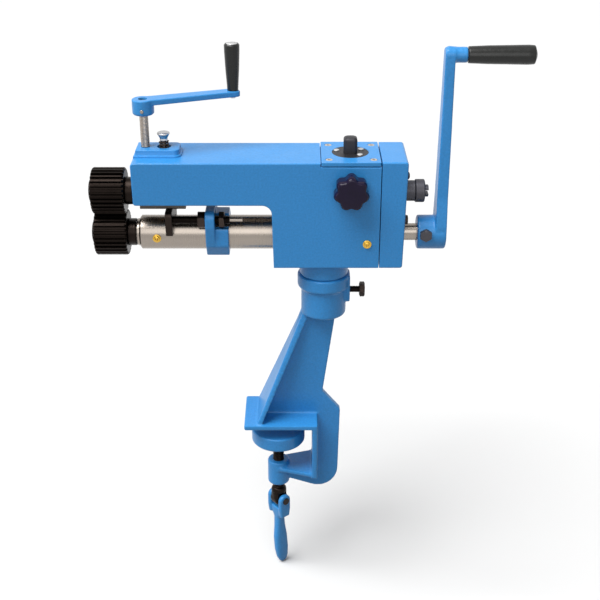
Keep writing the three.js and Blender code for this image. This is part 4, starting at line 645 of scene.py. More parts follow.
def finish(name):
    """A finish by its name, made when it is first asked for."""
    if name in bpy.data.materials:
        return bpy.data.materials[name]
    made = bpy.data.materials.new(name)
    tree = emptied(made)
    inputs, settings = FINISHES[name]
    shader = add(tree, "ShaderNodeBsdfPrincipled", inputs=inputs(tree, **settings))
    add(tree, "ShaderNodeOutputMaterial", inputs={"Surface": shader.outputs[0]})
    return made


# Stand and clamp


def make_stand():
    """The clamp stand: web, slanting flange, spine, jaw plate, lower arm and collar under one cast skin."""
    stand, bolt = Place("clamp_stand"), Place("swivel_lock_bolt")
    top, mast_x = stand.high[2], Place("swivel_spigot").mid[0]
    plate_half, jaw_top, web_half, flange = 37.0, 6.0, 5.0, 6.0
    arm_z, spine_x = -72.0, 43.4
    spine_back = spine_x + flange + 1
    web = [[31, top - 46], [71, top - 46], [71, 146, 20], [56.4, 38, 8], [78.9, 11, 3], [76.7, -92, 30],
           [56.2, stand.low[2] + 0.2, 30], [12, -94, 8], [8, arm_z - 3], [spine_x + 2, arm_z - 3],
           [spine_x + 2, jaw_top / 2], [-22, jaw_top / 2]]
    slant = slab("slant", [[35.5, 162], [-27.5, 2], [-21.3, 2], [44, 162]], "Y", -40, 40)
    taper = slab("taper", [[-35.5, 0], [35.5, 0], [8.5, 162], [-8.5, 162]], "X", -60, 60)
    spine = [[-plate_half, jaw_top / 2], [-31, arm_z - flange], [31, arm_z - flange],
             [plate_half, jaw_top / 2]]
    lower = [[-6, -13], [spine_back, -31], [spine_back, 31], [-6, 13]]
    plate = eased(rectangle(stand.low[0], spine_back, -plate_half, plate_half, 1.5))
    lug = eased([[-12, top - 36, 5], [12, top - 36, 5], [12, top - 1.5, 3], [-12, top - 1.5, 3]])
    collar = [[top - 53, 27, 3], [top - 19, 27, 2], [top - 15, 31.5, 1.5], [top, 31.5, 1.5]]
    boss_top = arm_z + 5.4
    boss_foot = boss_top - 34
    bodies = [
        slab("web", eased(web), "Y", -web_half, web_half),
        carve(slant, [taper], "INTERSECT"),
        slab("spine", spine, "X", spine_x, spine_back),
        slab("lower_arm", lower, "Z", arm_z - flange, arm_z),
        slab("plate", plate, "Z", 0, jaw_top),
        slab("lug", lug, "X", mast_x, stand.high[0]),
        turned("collar", collar, "Z", (mast_x, 0), 128),
        turned("boss", [[boss_foot, 14, 1.5], [boss_top, 14, 1.5]], "Z"),
    ]
    piece = cast("clamp_stand_casting", bodies, size("skin"), 6)
    ways = [
        bar("screw_way", boss_foot - 2, boss_top + 2, CLAMP_SCREW_RADIUS + 0.3, "Z"),
        bar("socket", top - 44, top + 2, 20.3, "Z", (mast_x, 0), 96),
        bar("bolt_way", mast_x, stand.high[0] + 2, 4.3, "X", (0, bolt.mid[2])),
    ]
    outfit(carve(piece, ways), "clamp_stand", "enamel_on_sand_casting")


def make_lock_bolt():
    """The swivel's lock bolt: a hexagon head with a washer face on a threaded shank."""
    bolt = Place("swivel_lock_bolt")
    centre, face = (0, bolt.mid[2]), bolt.high[0] - 6
    head = hexagon("lock_bolt_hexagon", 9.2, "X", face, bolt.high[0], centre)
    washer = turned("washer", [[face, 7.4, 0.2], [face - 0.6, 7.4, 0.2]], "X", centre)
    shank = threaded("shank", bolt.low[0], face + 1, 4, 1.25, 0.6, "X", centre)
    outfit(carve(head, [washer, shank], "UNION"), "swivel_lock_bolt", "blacked_steel")


def make_clamp_pad():
    """The domed pad at the top of the clamp screw."""
    pad = Place("clamp_pad")
    foot, rim, top, radius = pad.low[2], pad.low[2] + 9, pad.high[2], pad.size[0] / 2
    dome = [[foot, 12, 2], [foot + 3.4, radius - 13, 12], [rim, radius - 1.5, 3], [rim + 2, radius, 2],
            [top, radius, 2]]
    body = turned("clamp_pad_turned", dome, "Z", (0, 0), 128)
    socket = bar("socket", foot - OVER, foot + 20.3, CLAMP_SCREW_RADIUS + 0.3, "Z")
    outfit(carve(body, [socket]), "clamp_pad", "sprayed_enamel")


def make_clamp_screw():
    """The clamp screw, with its shoulder and the flattened eye for the lever's pin."""
    screw, eye_z = Place("clamp_screw"), Place("clamp_lever_pin").mid[2]
    eye_top, eye, flat = eye_z + 19, 9.9, 7
    low, high, pitch = eye_top - 2, screw.high[2] - 0.3, size("coarse_pitch")
    rod = threaded("rod", low, high, CLAMP_SCREW_RADIUS, pitch, 0.9, "Z", (0, 0), 48)
    neck = turned("neck", [[eye_z, eye], [eye_top - 3, eye, 3], [eye_top, 7, 1]], "Z")
    flats = slab("flats", rectangle(-12, 12, -flat, flat), "Z", eye_z - 12, eye_top - 8)
    ring = turned("eye", [[-flat, eye, 3.2], [flat, eye, 3.2]], "Y", (0, eye_z))
    shaped = carve(carve(neck, [flats], "INTERSECT"), [ring], "UNION")
    shoulder = turned("shoulder", [[eye_top - 9, 10.2, 2.5], [eye_top - 0.5, 9.4, 7]], "Z")
    carve(rod, [shaped, shoulder], "UNION")
    carve(rod, [bar("pin_way", -12, 12, 3.2, "Y", (0, eye_z))])
    outfit(moved(rod, LEVER_TURN), "clamp_screw", "blacked_thread")


def make_clamp_lever():
    """The clamp's folding lever, two cheeks and a leaning blade, and the riveted pin that it turns on."""
    eye_z = Place("clamp_lever_pin").mid[2]
    cheek, head, near = 14.5, 4.8, 7.6
    rivet = [[-cheek - 1.5, head, 1], [-cheek, head, 0.3], [-cheek, 3]]
    pin = turned("pin", mirrored(rivet), "Y", (0, eye_z), 48)
    outfit(moved(pin, LEVER_TURN), "clamp_lever_pin", "blacked_steel")

    form = eased([[-8.5, eye_z - 14, 6], [-6.75, eye_z - 26], [6.75, eye_z - 26], [8.5, eye_z - 14, 6],
                  [8.4, eye_z + 8.4, 8.2], [-8.4, eye_z + 8.4, 8.2]], 8)
    bodies = [slab("cheek", form, "Y", *span, 2.2) for span in ((-14.4, -near), (near, 14.4))]
    # Each section of the blade: its height over the pin, its width and its depth
    sections = [[-13.5, 13.5, 29], [-20, 13.5, 27], [-31, 12, 12.5], [-46, 14.5, 11.5], [-64, 19, 12],
                [-84, 19.5, 11.5], [-97, 16.5, 9.5], [-104, 11, 7], [-106, 5, 3.5]]
    bodies.append(blade(eye_z, np.array(sections), (-3.4, 2.9)))
    body = cast("clamp_lever_cast", bodies, size("arm_skin"), 5)
    ways = [bar("pin_way", -16, 16, 3.1, "Y", (0, eye_z)), bar("eye_way", -7.5, 7.5, 10.6, "Y", (0, eye_z))]
    outfit(moved(carve(body, ways), LEVER_TURN), "clamp_lever", "sprayed_enamel")


def blade(eye_z, sections, lean):
    """The lever's blade: superellipses of power 1.43 whose width and depth follow a run down the blade, and
    whose middle leans over by the lean times the square of the share of the way down."""
    drops, widths, depths = sections.T
    down = np.concatenate([np.linspace(drops[0], drops[-2], 48), np.linspace(drops[-2], drops[-1], 6)[1:]])
    wide = np.interp(down, drops[::-1], widths[::-1])[:, None] / 2
    deep = np.interp(down, drops[::-1], depths[::-1])[:, None] / 2
    at = np.arange(48)[None] * 2 * math.pi / 48
    x, y = (np.sign(wave) * np.abs(wave) ** 0.7 for wave in (np.cos(at), np.sin(at)))
    down = down[:, None]
    sag = ((down - down[0]) / (down[-1] - down[0])) ** 2
    return skin("blade", along("Z", eye_z + down, x * wide + lean[0] * sag, y * deep + lean[1] * sag))


# Head


def nose_boss(lines):
    """The boss on the nose, square to the left and round to the right, with its low foot.

    Each ring is the boss's outline drawn in by a distance that follows the foot's fillet, the foot's edge and
    the boss's edge on the way up.
    """
    left, right, wide, top = lines.nose + 1.4, lines.nose + 37.5, 17.9, lines.boss_top
    corners = [[right, wide], [left, wide], [left, -wide], [right, -wide]]
    ends = [[right + wide, -wide, wide - 0.1], [right + wide, wide, wide - 0.1]]
    outline = eased(corners[2:] + ends + corners[:2], 12)
    arm = lines.arm_top
    steps = [(arm - 3, 0), (arm + 1, 0), (arm + 1.8, 0.3), (arm + 2.1, 0.9), (arm + 2.2, 2.1),
             (arm + 2.7, 2.4), (top - 0.9, 2.4), (top - 0.4, 2.55), (top - 0.1, 2.9), (top, 3.4)]
    return skin("boss", np.stack([along("Z", height, *inset(outline, drawn).T) for height, drawn in steps]))


def make_head_casting():
    """The head casting with its arm and nose, cut for everything that it holds."""
    lines = HeadLines()
    block, rear, sleeve = Place("bearing_block"), Place("rear_bearing_sleeve"), Place("lower_sleeve")
    nose, seam, foot, half = lines.nose, lines.seam, lines.foot, lines.half
    arm_top, seat, boss_top = lines.arm_top, lines.seat, lines.boss_top
    arm_foot, throat = arm_top - 50.3, -4.3
    step = Place("top_plate").low[0] - size("gap")
    form = eased(
        [[nose, arm_top, 4], [nose + 0.8, arm_foot, 3], [throat, arm_foot, 11], [-2.5, foot],
         [seam, foot], [seam, seat], [step, seat], [step, arm_top]]
    )
    body = slab("head_casting_body", form, "Y", -half, half, size("edge"), seam=seam)
    carve(body, [nose_boss(lines)], "UNION")
    lower, upper, barrel = (0, lines.lower_z), (0, lines.upper_z), (lines.disc_x, 0)
    press, lift = (Place("pressure_screw").mid[0], 0), (Place("lift_bolt").mid[0], 0)
    spigot, star = (Place("swivel_spigot").mid[0], 0), (lines.disc_x, Place("star_knob").mid[2])
    side_gap = 0.15
    chamber_top, wide = boss_top - 17, block.size[1] / 2 + side_gap
    chamber = rectangle(block.low[0] - side_gap, block.high[0] + side_gap, -wide, wide)
    slot = eased(rectangle(-12.2, 12.2, lines.upper_z - 12.2, lines.upper_z + 18.2, 12), 12)
    tunnel = rectangle(block.high[0] + 6, throat - 11, -27.5, 27.5, 3)
    ways = [
        slab("chamber", chamber, "Z", arm_foot - 5, chamber_top),
        slab("nose_slot", slot, "X", nose - 2, block.low[0] + OVER),
        slab("tunnel", tunnel, "Z", arm_foot - 5, arm_top - 10),
        bar("shaft_way", block.high[0] - OVER, rear.low[0], 16, "X", upper),
        bar("rear_way", rear.low[0] - 4, seam + OVER, 24.1, "X", upper, 96),
        bar("barrel_way", lines.upper_z, seat + OVER, 15.2, "Z", barrel),
        bar("sleeve_seat", -12, sleeve.high[0], sleeve.size[2] / 2 + FIT, "X", lower, 96),
        bar("lower_way", sleeve.high[0] - OVER, seam + OVER, 13.6, "X", lower),
        bar("stub_way", foot - OVER, foot + 12.1, 12.1, "Z", spigot),
        bar("press_way", chamber_top - OVER, boss_top + OVER, 5.3, "Z", press),
        bar("well", boss_top - 14, boss_top + OVER, 8, "Z", lift),
        bar("lift_way", chamber_top - OVER, boss_top - 13, 3.5, "Z", lift),
        bar("star_way", -half - OVER, -16, 4.2, "Y", star),
    ]
    outfit(carve(body, ways), "head_casting", "enamel_on_head")


def make_neck():
    """The neck under the head, with the spigot that turns in the stand and the stub that fits the casting."""
    spigot, foot = Place("swivel_spigot"), HeadLines().foot
    ring_foot = foot - 21
    form = [[spigot.low[2], 20, 1.5], [ring_foot, 20], [ring_foot, 29, 1.5], [foot, 29], [foot, 12],
            [foot + 12, 12, 0.5]]
    outfit(turned("swivel_neck", form, "Z", (spigot.mid[0], 0), 128), "swivel_spigot", "sprayed_enamel")


def make_gear_cover():
    """The gear cover on the head's rear, hollow round both gears."""
    lines, cover = HeadLines(), Place("gear_cover")
    seam, foot, half, back, top = lines.seam, lines.foot, lines.half, cover.high[0], cover.high[2]
    start = seam + size("gap")
    form = eased([[start, foot], [back - 2.7, foot, 3], [back, top, 3.2], [start, top]])
    body = slab("gear_cover_body", form, "Y", -half, half, size("cover_edge"), seam=start)
    pocket, pocket_end, dip = 28.2, seam + 22, 1.7
    lower, upper, dipped = (0, lines.lower_z), (0, lines.upper_z), (0, lines.upper_z - dip)
    ways = [
        bar("lower_pocket", seam - OVER, pocket_end, pocket, "X", lower),
        bar("upper_pocket", seam - OVER, pocket_end, pocket + dip, "X", dipped),
        bar("crank_way", seam, back + 2, 10.5, "X", lower),
        bar("tail_way", seam, back + 2, 12.2, "X", upper),
    ]
    outfit(carve(body, ways), "gear_cover", "enamel_on_head")


def make_top_plate():
    """The top plate and its four countersunk screws, each with a hexagon key's socket."""
    lines, plate = HeadLines(), Place("top_plate")
    seat, top = lines.seat, plate.high[2]
    form = eased(rectangle(plate.low[0], plate.high[0], -lines.half, lines.half, 1.2))
    body = slab("top_plate_body", form, "Z", seat + size("gap"), top, 0.5)
    nodes = [f"top_plate_screw_{i + 1}" for i in range(4)]
    ways = [bar("disc_way", seat - OVER, top + OVER, 21.1, "Z", (lines.disc_x, 0), 96)]
    for node in nodes:
        cone = [[seat - OVER, 2.3], [top - 2.4, 2.3], [top - 0.2, 4.6], [top + OVER, 4.6]]
        ways.append(turned("countersink", cone, "Z", Place(node).mid[:2], 32))
    outfit(carve(body, ways), "top_plate", "enamel_on_head")
    for node in nodes:
        screw = Place(node)
        centre, high = screw.mid[:2], screw.high[2]
        form = [[screw.low[2], 2.1], [high - 2.2, 2.1], [high, 4.3, 0.2]]
        head = turned("countersunk_screw", form, "Z", centre, 32)
        key = slab("key", polygon(1.9, 6, centre), "Z", high - 1.5, high + OVER)
        outfit(carve(head, [key]), node, "worn_steel")


def make_cover_fixings():
    """The cover's hexagon bolt and its two round-headed screws."""
    bolt = Place("cover_bolt")
    head = hexagon("cover_bolt_hexagon", 5.6, "X", bolt.high[0] - 4, bolt.high[0], bolt.mid[1:])
    shank = bar("shank", bolt.low[0], bolt.high[0] - 3, 3, "X", bolt.mid[1:], 32)
    outfit(carve(head, [shank], "UNION"), "cover_bolt", "blacked_steel")
    for node in ("cover_screw_front", "cover_screw_back"):
        screw = Place(node)
        face = screw.high[0] - 2.2
        form = [[screw.low[0], 2.2], [face, 2.2], [face, 4.4, 0.2], [face + 1.2, 4.2, 1],
                [face + 2.2, 2.4, 1.5]]
        body = turned(f"{node}_turned", form, "X", screw.mid[1:], 48)
        key = slab("key", polygon(1.7, 6, screw.mid[1:]), "X", face + 0.8, face + 4)
        outfit(carve(body, [key]), node, "blacked_steel")


# Alignment and star knob


def make_aligner():
    """The alignment disc in the top plate, with its bevelled square post and small round pins."""
    disc, plate = Place("aligner_disc"), Place("top_plate")
    x, seat, top, foot, head = disc.mid[0], plate.low[2], plate.high[2], disc.low[2], disc.high[2]
    barrel = 15
    form = [[foot + 5, barrel], [seat, barrel], [seat, 20.9], [top, 20.9, 0.5]]
    body = turned("aligner_disc_turned", form, "Z", (x, 0), 128)
    half, cut = 7.75, 4.75
    corners = [[half, -cut], [half, cut], [cut, half], [-cut, half], [-half, cut], [-half, -cut],
               [-cut, -half], [cut, -half]]
    post = eased([[*corner, 0.5] for corner in corners], 2)
    levels = [(top - 1, 1), (head - 3.2, 1), (head - 2.4, 0.985), (head - 1.2, 0.9), (head - 0.4, 0.8),
              (head, 0.68)]
    key = skin("key", np.stack([along("Z", z, *(post * share + [x, 0]).T) for z, share in levels]))
    pin = bar("pin", foot, foot + 6, 3, "Z", (x, -2), 32)
    outfit(carve(body, [key, pin], "UNION"), "aligner_disc", "phosphated_disc")
    for node in ("aligner_screw_1", "aligner_screw_2"):
        screw = Place(node)
        outfit(dot(f"{node}_pin", *screw.mid[:2], top, screw.low[2]), node, "rubbed_nickel")
    attach(dot("aligner_third_pin", x + 12.5, 9.5, top, top - 2), "aligner_disc", "rubbed_nickel")


def dot(name, x, y, top, foot):
    """A small round-headed pin standing a little out of a face."""
    seat = top + FIT
    form = [[foot, 1.4], [seat, 1.4], [seat, 3.3, 0.2], [top + 0.9, 3.2, 0.8], [top + 1.2, 1, 0.5]]
    return turned(name, form, "Z", (x, y), 32)


def make_star_knob():
    """The star knob on the front: the radius dips between the lobes by the waist times a cosine bump to the
    power 1.3, less and less towards the hub, and its stud."""
    knob, stud = Place("star_knob"), Place("star_knob_stud")
    centre, hub, lobes = (knob.mid[0], stud.mid[2]), 9, 7
    radius, back, front = size("knob_radius"), knob.high[1] - 1, knob.low[1]
    outer = eased(
        [[front, 0], [front, radius - 2.2, 3.6], [front + 5, radius, 5], [back - 3, radius - 0.2, 3],
         [back, radius - 3, 2], [back, 9.2, 0.5], [back + 1, hub, 0.3], [back + 1, 0]],
        8, closed=False,
    )
    at = np.arange(168)[None] * 2 * math.pi / 168
    dip = size("knob_waist") * ((1 - np.cos(lobes * at)) / 2) ** 1.3
    y, r = outer[:, :1], outer[:, 1:]
    r = r - dip * np.clip((r - hub) / (radius - hub), 0, 1) ** 1.4
    body = skin("star_knob_moulded", along("Y", y, centre[0] + r * np.sin(at), centre[1] + r * np.cos(at)))
    carve(body, [bar("stud_way", back - 14, back + 5, 4 + FIT, "Y", centre)])
    outfit(body, "star_knob", "moulded_purple_black")
    rod = threaded("star_stud_thread", stud.low[1], stud.high[1], 4, 1.25, 0.55, "Y", centre)
    outfit(rod, "star_knob_stud", "blacked_steel")


# Sleeve, shafts and rolls


def oiler(name, node):
    """A ball oiler: a turned brass cup with a rolled rim and a steel ball held in its mouth."""
    box = Place(node)
    face, front, centre, ball = box.low[1] + 3.6, box.low[1], (box.mid[0], box.mid[2]), 1.35
    form = [[box.high[1], 2.6, 0.2], [face, 2.6], [face, 5, 0.3], [face - 1.3, 5, 0.4],
            [face - 1.7, 3.4, 0.3], [face - 2.9, 3.1, 0.7], [front + 0.3, 2.3, 0.5], [front + 0.3, 1.5, 0.2],
            [face - 2.4, 1.3]]
    cup = turned(name, form, "Y", centre, 48)
    turn = np.linspace(0, math.pi, 14)
    round_ball = [[front + FIT + ball * (1 - math.cos(a)), ball * math.sin(a)] for a in turn]
    outfit(carve(cup, [turned("ball", round_ball, "Y", centre, 32)], "UNION"), node, "turned_brass")


def make_sleeve():
    """The long ground sleeve round the lower shaft, its front bush and the two brass oilers."""
    sleeve, bush, oil = Place("lower_sleeve"), Place("lower_front_bush"), Place("sleeve_oiler")
    centre = (0, sleeve.mid[2])
    x0, x1, radius = sleeve.low[0], sleeve.high[0], sleeve.size[2] / 2
    form = [[x0, SLEEVE_BORE], [x0, radius - 2.4, 0.5], [x0 + 2, radius, 0.8],
            [x1, radius, size("break_edge")], [x1, SLEEVE_BORE]]
    body = turned("lower_sleeve_ground", form, "X", centre, 160, closed=True)
    carve(body, [bar("oil_way", -radius - 2, -12, 2.7, "Y", (oil.mid[0], oil.mid[2]), 32)])
    outfit(body, "lower_sleeve", "ground_steel_X")
    low, high, bore, outside = bush.low[0], bush.high[0], 11.2, SLEEVE_BORE - 0.1
    rim = low + 3.2
    form = [[low, bore, 0.4], [low, 16, 0.8], [rim, 16, 0.2], [rim, outside], [high, outside], [high, bore]]
    flange = turned("front_bush_flange", form, "X", centre, 128, closed=True)
    outfit(flange, "lower_front_bush", "ground_steel_X")
    oiler("sleeve_oiler_cup", "sleeve_oiler")
    oiler("body_oiler_cup", "body_oiler")


def make_shafts():
    """Both shafts, ground bright, with tapped outer ends."""
    for side, tail, short in (("lower", 10.0, 0), ("upper", 9.0, 5)):
        node = f"{side}_shaft"
        shaft, gear = Place(node), Place(f"{side}_gear")
        x0, x1, step = shaft.low[0], shaft.high[0] - short, gear.high[0]
        tapped = 4 + FIT
        form = [[x0 + 18, tapped], [x0, tapped, 0.3], [x0, SHAFT_RADIUS, 1], [step, SHAFT_RADIUS, 0.4],
                [step, tail], [x1, tail, 1]]
        outfit(turned(f"{node}_ground", form, "X", (0, gear.mid[2]), 96), node, "ground_steel_X")


def make_rolls():
    """The two ribbed rolls, their socket screws and the collars behind them."""
    bore = SHAFT_RADIUS + 0.1
    for side, phase in (("lower", 0.0), ("upper", 0.5)):
        roll, collar, screw = (Place(f"{side}_{part}") for part in ("roll", "collar", "roll_screw"))
        centre, face, front = (0, collar.mid[2]), roll.low[0], screw.low[0]
        body = toothed(
            f"{side}_roll_ribbed", face, roll.high[0], 28, (27, 24.05), (0.3, 0.6), 1.6, bore, phase, centre
        )
        outfit(body, f"{side}_roll", "blacked_roll")
        low, high, radius = collar.low[0], collar.high[0], collar.size[2] / 2
        ring = tube(f"{side}_collar_turned", low, high, bore, radius, 1.2, "X", centre)
        outfit(ring, f"{side}_collar", "blacked_collar")
        form = [[face + 17.5, 4, 0.5], [face, 4], [face, 13, 0.3], [front, 13, 1.2]]
        head = turned(f"{side}_roll_screw_turned", form, "X", centre, 96)
        socket = slab("socket", polygon(5, 6, centre), "X", front - OVER, face - 0.6)
        outfit(carve(head, [socket]), f"{side}_roll_screw", "blacked_collar")


def make_rear_end():
    """Behind the cover: spacer and slotted lock nut on the upper shaft."""
    spacer, nut = Place("rear_spacer"), Place("rear_lock_nut")
    centre, bore = (0, HeadLines().upper_z), 9.1
    low, high, radius = spacer.low[0], spacer.high[0], spacer.size[2] / 2
    ring = tube("rear_spacer_turned", low, high, bore, radius, 0.8, "X", centre)
    outfit(ring, "rear_spacer", "phosphated_steel")
    x0, x1, end = nut.low[0], nut.high[0] - 4.5, nut.high[0]
    form = [[x0, 13.4, 1.2], [x1, 13.4, 1.6], [x1, 7.2, 0.4], [end, 7, 0.8]]
    body = turned("lock_nut_slotted", form, "X", centre, 96)
    slot = rectangle(-20, 20, centre[1] - 2.6, centre[1] + 2.6)
    ways = [
        bar("tail_way", x0 - OVER, x1 - 1, bore, "X", centre),
        slab("slot", slot, "X", x1 + 0.4, end + OVER),
    ]
    outfit(carve(body, ways), "rear_lock_nut", "phosphated_steel")


# Crank


def make_crank_arm():
    """The crank's casting: hub, tapering arm and stub, bored for the shaft, the spindle and the set screw."""
    arm, screw = Place("crank_arm"), Place("crank_set_screw")
    z, top, grip_z = Place("lower_shaft").mid[2], arm.high[2], Place("crank_spindle").mid[2]
    x0, stub_x, stub = arm.low[0], arm.high[0], 8.6
    x1 = stub_x - 13
    arm_x = x1 - 13
    front = eased(mirrored([[19.4, z - 4], [18.6, z + 12, 14], [13.4, z + 46, 60], [9.1, top, 8.6]]), 10)
    side = eased([[arm_x, z - 4], [x1, z - 4], [x1 - 0.8, top, 1.5], [arm_x + 1, top, 5]], 8)
    bodies = [
        turned("hub", [[x0, 20, 1.8], [x1, 20, 2.2]], "X", (0, z), 128),
        carve(slab("arm", front, "X", arm_x - 5, x1 + 5), [slab("side", side, "Y", -40, 40)], "INTERSECT"),
        turned("stub", [[x1 - 8, 9.6], [x1 + 2, stub, 6], [stub_x, stub, 1]], "X", (0, grip_z)),
    ]
    body = cast("crank_arm_casting", bodies, size("arm_skin"), 7)
    ways = [
        bar("bore", x0 - OVER, x1 + OVER, 10 + FIT, "X", (0, z), 96),
        bar("spindle_way", arm_x + 3, stub_x + OVER, 4 + FIT, "X", (0, grip_z)),
        bar("set_way", -22, -7, 4 + FIT, "Y", (screw.mid[0], screw.mid[2]), 32),
    ]
    outfit(carve(body, ways), "crank_arm", "enamel_on_head")


def make_crank_fittings():
    """The crank's set screw, the spindle in its stub and the black grip that spins on it."""
    grip, screw, spindle = Place("crank_grip"), Place("crank_set_screw"), Place("crank_spindle")
    hole, head, centre = (screw.mid[0], screw.mid[2]), screw.low[1] + 5.3, (0, spindle.mid[2])
    hexa = hexagon("set_screw_hexagon", 7.5, "Y", screw.low[1], head, hole, math.pi / 6, worked="low")
    shank = bar("shank", head - OVER, screw.high[1], 4, "Y", hole, 32)
    outfit(carve(hexa, [shank], "UNION"), "crank_set_screw", "phosphated_steel")
    form = [[spindle.low[0], 4, 0.4], [spindle.high[0], 4, 0.8]]
    outfit(turned("crank_spindle_turned", form, "X", centre, 48), "crank_spindle", "ground_steel_X")
    g0, g1, foot, big = grip.low[0], grip.high[0], 9.4, grip.size[2] / 2
    form = [[g1 - 7, 4.1], [g0, 4.1, 0.4], [g0, foot - 0.2, 1.2], [g0 + 22, foot + 0.7, 60],
            [g0 + 44, big - 0.4, 60], [g1 - 10, big, 30], [g1 - 3, big - 0.5, 1.6],
            [g1 - 0.6, big - 7, 6], [g1, 0]]
    outfit(turned("crank_grip_moulded", form, "X", centre, 96), "crank_grip", "moulded_black")


# Nose and pressure crank


def make_nose():
    """In the nose: bearing block, its screw, the lift bolt and the threaded pressure screw."""
    block, bush, lift = Place("bearing_block"), Place("block_bush"), Place("lift_bolt")
    press, screw = Place("pressure_screw"), Place("block_screw")
    half, axis = block.size[1] / 2, (0, bush.mid[2])
    low, high, x0, x1 = block.low[2], block.high[2], block.low[0], block.high[0]
    body = slab("bearing_block_milled", eased(rectangle(-half, half, low, high, 2)), "X", x0, x1, 0.6)
    ways = [
        bar("shaft_way", x0 - OVER, x1 + OVER, 12.5, "X", axis),
        bar("bush_way", bush.low[0], x1 + OVER, 15 + FIT, "X", axis),
        bar("bolt_way", high - 7, high + OVER, 3 + FIT, "Z", lift.mid[:2], 32),
        bar("screw_way", low - OVER, low + 5.3, 2.2 + FIT, "Z", screw.mid[:2], 32),
    ]
    outfit(carve(body, ways), "bearing_block", "milled_iron")
    foot, neck = screw.low[2], screw.low[2] + 1.5
    form = [[foot, 3, 0.3], [neck, 4.4], [neck, 2.2], [screw.high[2], 2.2]]
    outfit(turned("block_screw_turned", form, "Z", screw.mid[:2], 32), "block_screw", "nickel_plate")
    top, head = lift.high[2], lift.high[2] - 9.5
    form = [[lift.low[2], 3], [head, 3], [head, 4.8, 0.5], [head + 2.5, 4.4, 2], [top - 3.6, 6.2, 2],
            [top - 2.2, 7.2, 0.6], [top - 0.7, 7.2, 0.7], [top, 5.6, 1.2]]
    outfit(turned("lift_bolt_head", form, "Z", lift.mid[:2], 96), "lift_bolt", "satin_nickel")
    depth = size("thread_depth") / 3  # a shallow one: the real screw is ground after it is threaded
    low, high, pitch, centre = press.low[2], press.high[2], size("fine_pitch"), press.mid[:2]
    rod = threaded("pressure_screw_thread", low, high, 5, pitch, depth, "Z", centre)
    carve(rod, [bar("pin_way", -20, 20, 2 + FIT, "Y", (press.mid[0], Place("pressure_hub_pin").mid[2]), 32)])
    outfit(rod, "pressure_screw", "ground_steel_Z")


def make_pressure_crank():
    """The pressure crank: hub and tapering arm in one casting, and the pin that holds it on its screw."""
    crank, pin = Place("pressure_crank"), Place("pressure_hub_pin")
    x, y = Place("pressure_screw").mid[:2]
    across = Place("pressure_grip").mid[:2] - [x, y]
    reach, azimuth = math.hypot(*across), math.atan2(across[1], across[0])
    foot, top, pin_z = crank.low[2], crank.high[2], pin.mid[2]
    arm_z = top - 6.5
    arm = [[0, -10], [reach - 16, -8.2, 14], [reach - 2, -8.4, 8], [reach + 7.2, -8.3, 9],
           [reach + 7.2, 8.3, 9], [reach - 2, 8.4, 8], [reach - 16, 8.2, 14], [0, 10]]
    bodies = [
        turned("hub", [[foot, 12.3, 2.6], [top, 12.3, 0.8]], "Z", (0, 0), 96),
        slab("arm", eased(arm, 10), "Z", arm_z, top, 0.8),
    ]
    body = cast("pressure_crank_casting", bodies, 0.65, 4)
    ways = [
        bar("screw_way", foot - OVER, top + OVER, 5.1, "Z"),
        bar("grip_way", arm_z + 1, top + OVER, 3 + FIT, "Z", (reach, 0), 32),
    ]
    moved(carve(body, ways), azimuth, (x, y, 0))
    carve(body, [bar("pin_way", y - 14, y, 2 + FIT, "Y", (x, pin_z), 32)])
    outfit(body, "pressure_crank", "enamel_on_head")
    form = [[pin.low[1], 2, 0.6], [pin.high[1], 2, 0.3]]
    outfit(turned("hub_pin_turned", form, "Y", (x, pin_z), 32), "pressure_hub_pin", "ground_steel_Y")


def make_pressure_grip():
    """The pressure crank's black grip, and the slotted screw that it spins on."""
    grip, screw = Place("pressure_grip"), Place("pressure_grip_screw")
    x, y = grip.mid[:2]
    g0, g1, big = grip.low[2], grip.high[2] + 4, grip.size[0] / 2
    seat = g1 - 2
    form = [[g0, 3.1, 0.2], [g0, 6.2, 0.8], [g0 + 9, 6.6, 20], [g0 + 27, 7.8, 60], [g1 - 9, big - 0.1, 20],
            [g1 - 1.6, big, 1.6], [g1, big - 1.4, 0.8], [g1, 7, 0.3], [seat, 7], [seat, 3.1]]
    body = turned("pressure_grip_moulded", form, "Z", (x, y), 96, closed=True)
    outfit(body, "pressure_grip", "moulded_black")
    top = g1 + 0.9
    form = [[screw.low[2], 3], [seat, 3], [seat, 6.6, 0.2], [top - 0.7, 6.6, 0.7], [top, 4.6, 1.5]]
    head = turned("grip_screw_turned", form, "Z", (x, y), 64)
    slot = slab("slot", rectangle(x - 8, x + 8, y - 0.7, y + 0.7), "Z", top - 1.2, top + OVER)
    outfit(carve(head, [slot]), "pressure_grip_screw", "rubbed_nickel")


# Depth gauge


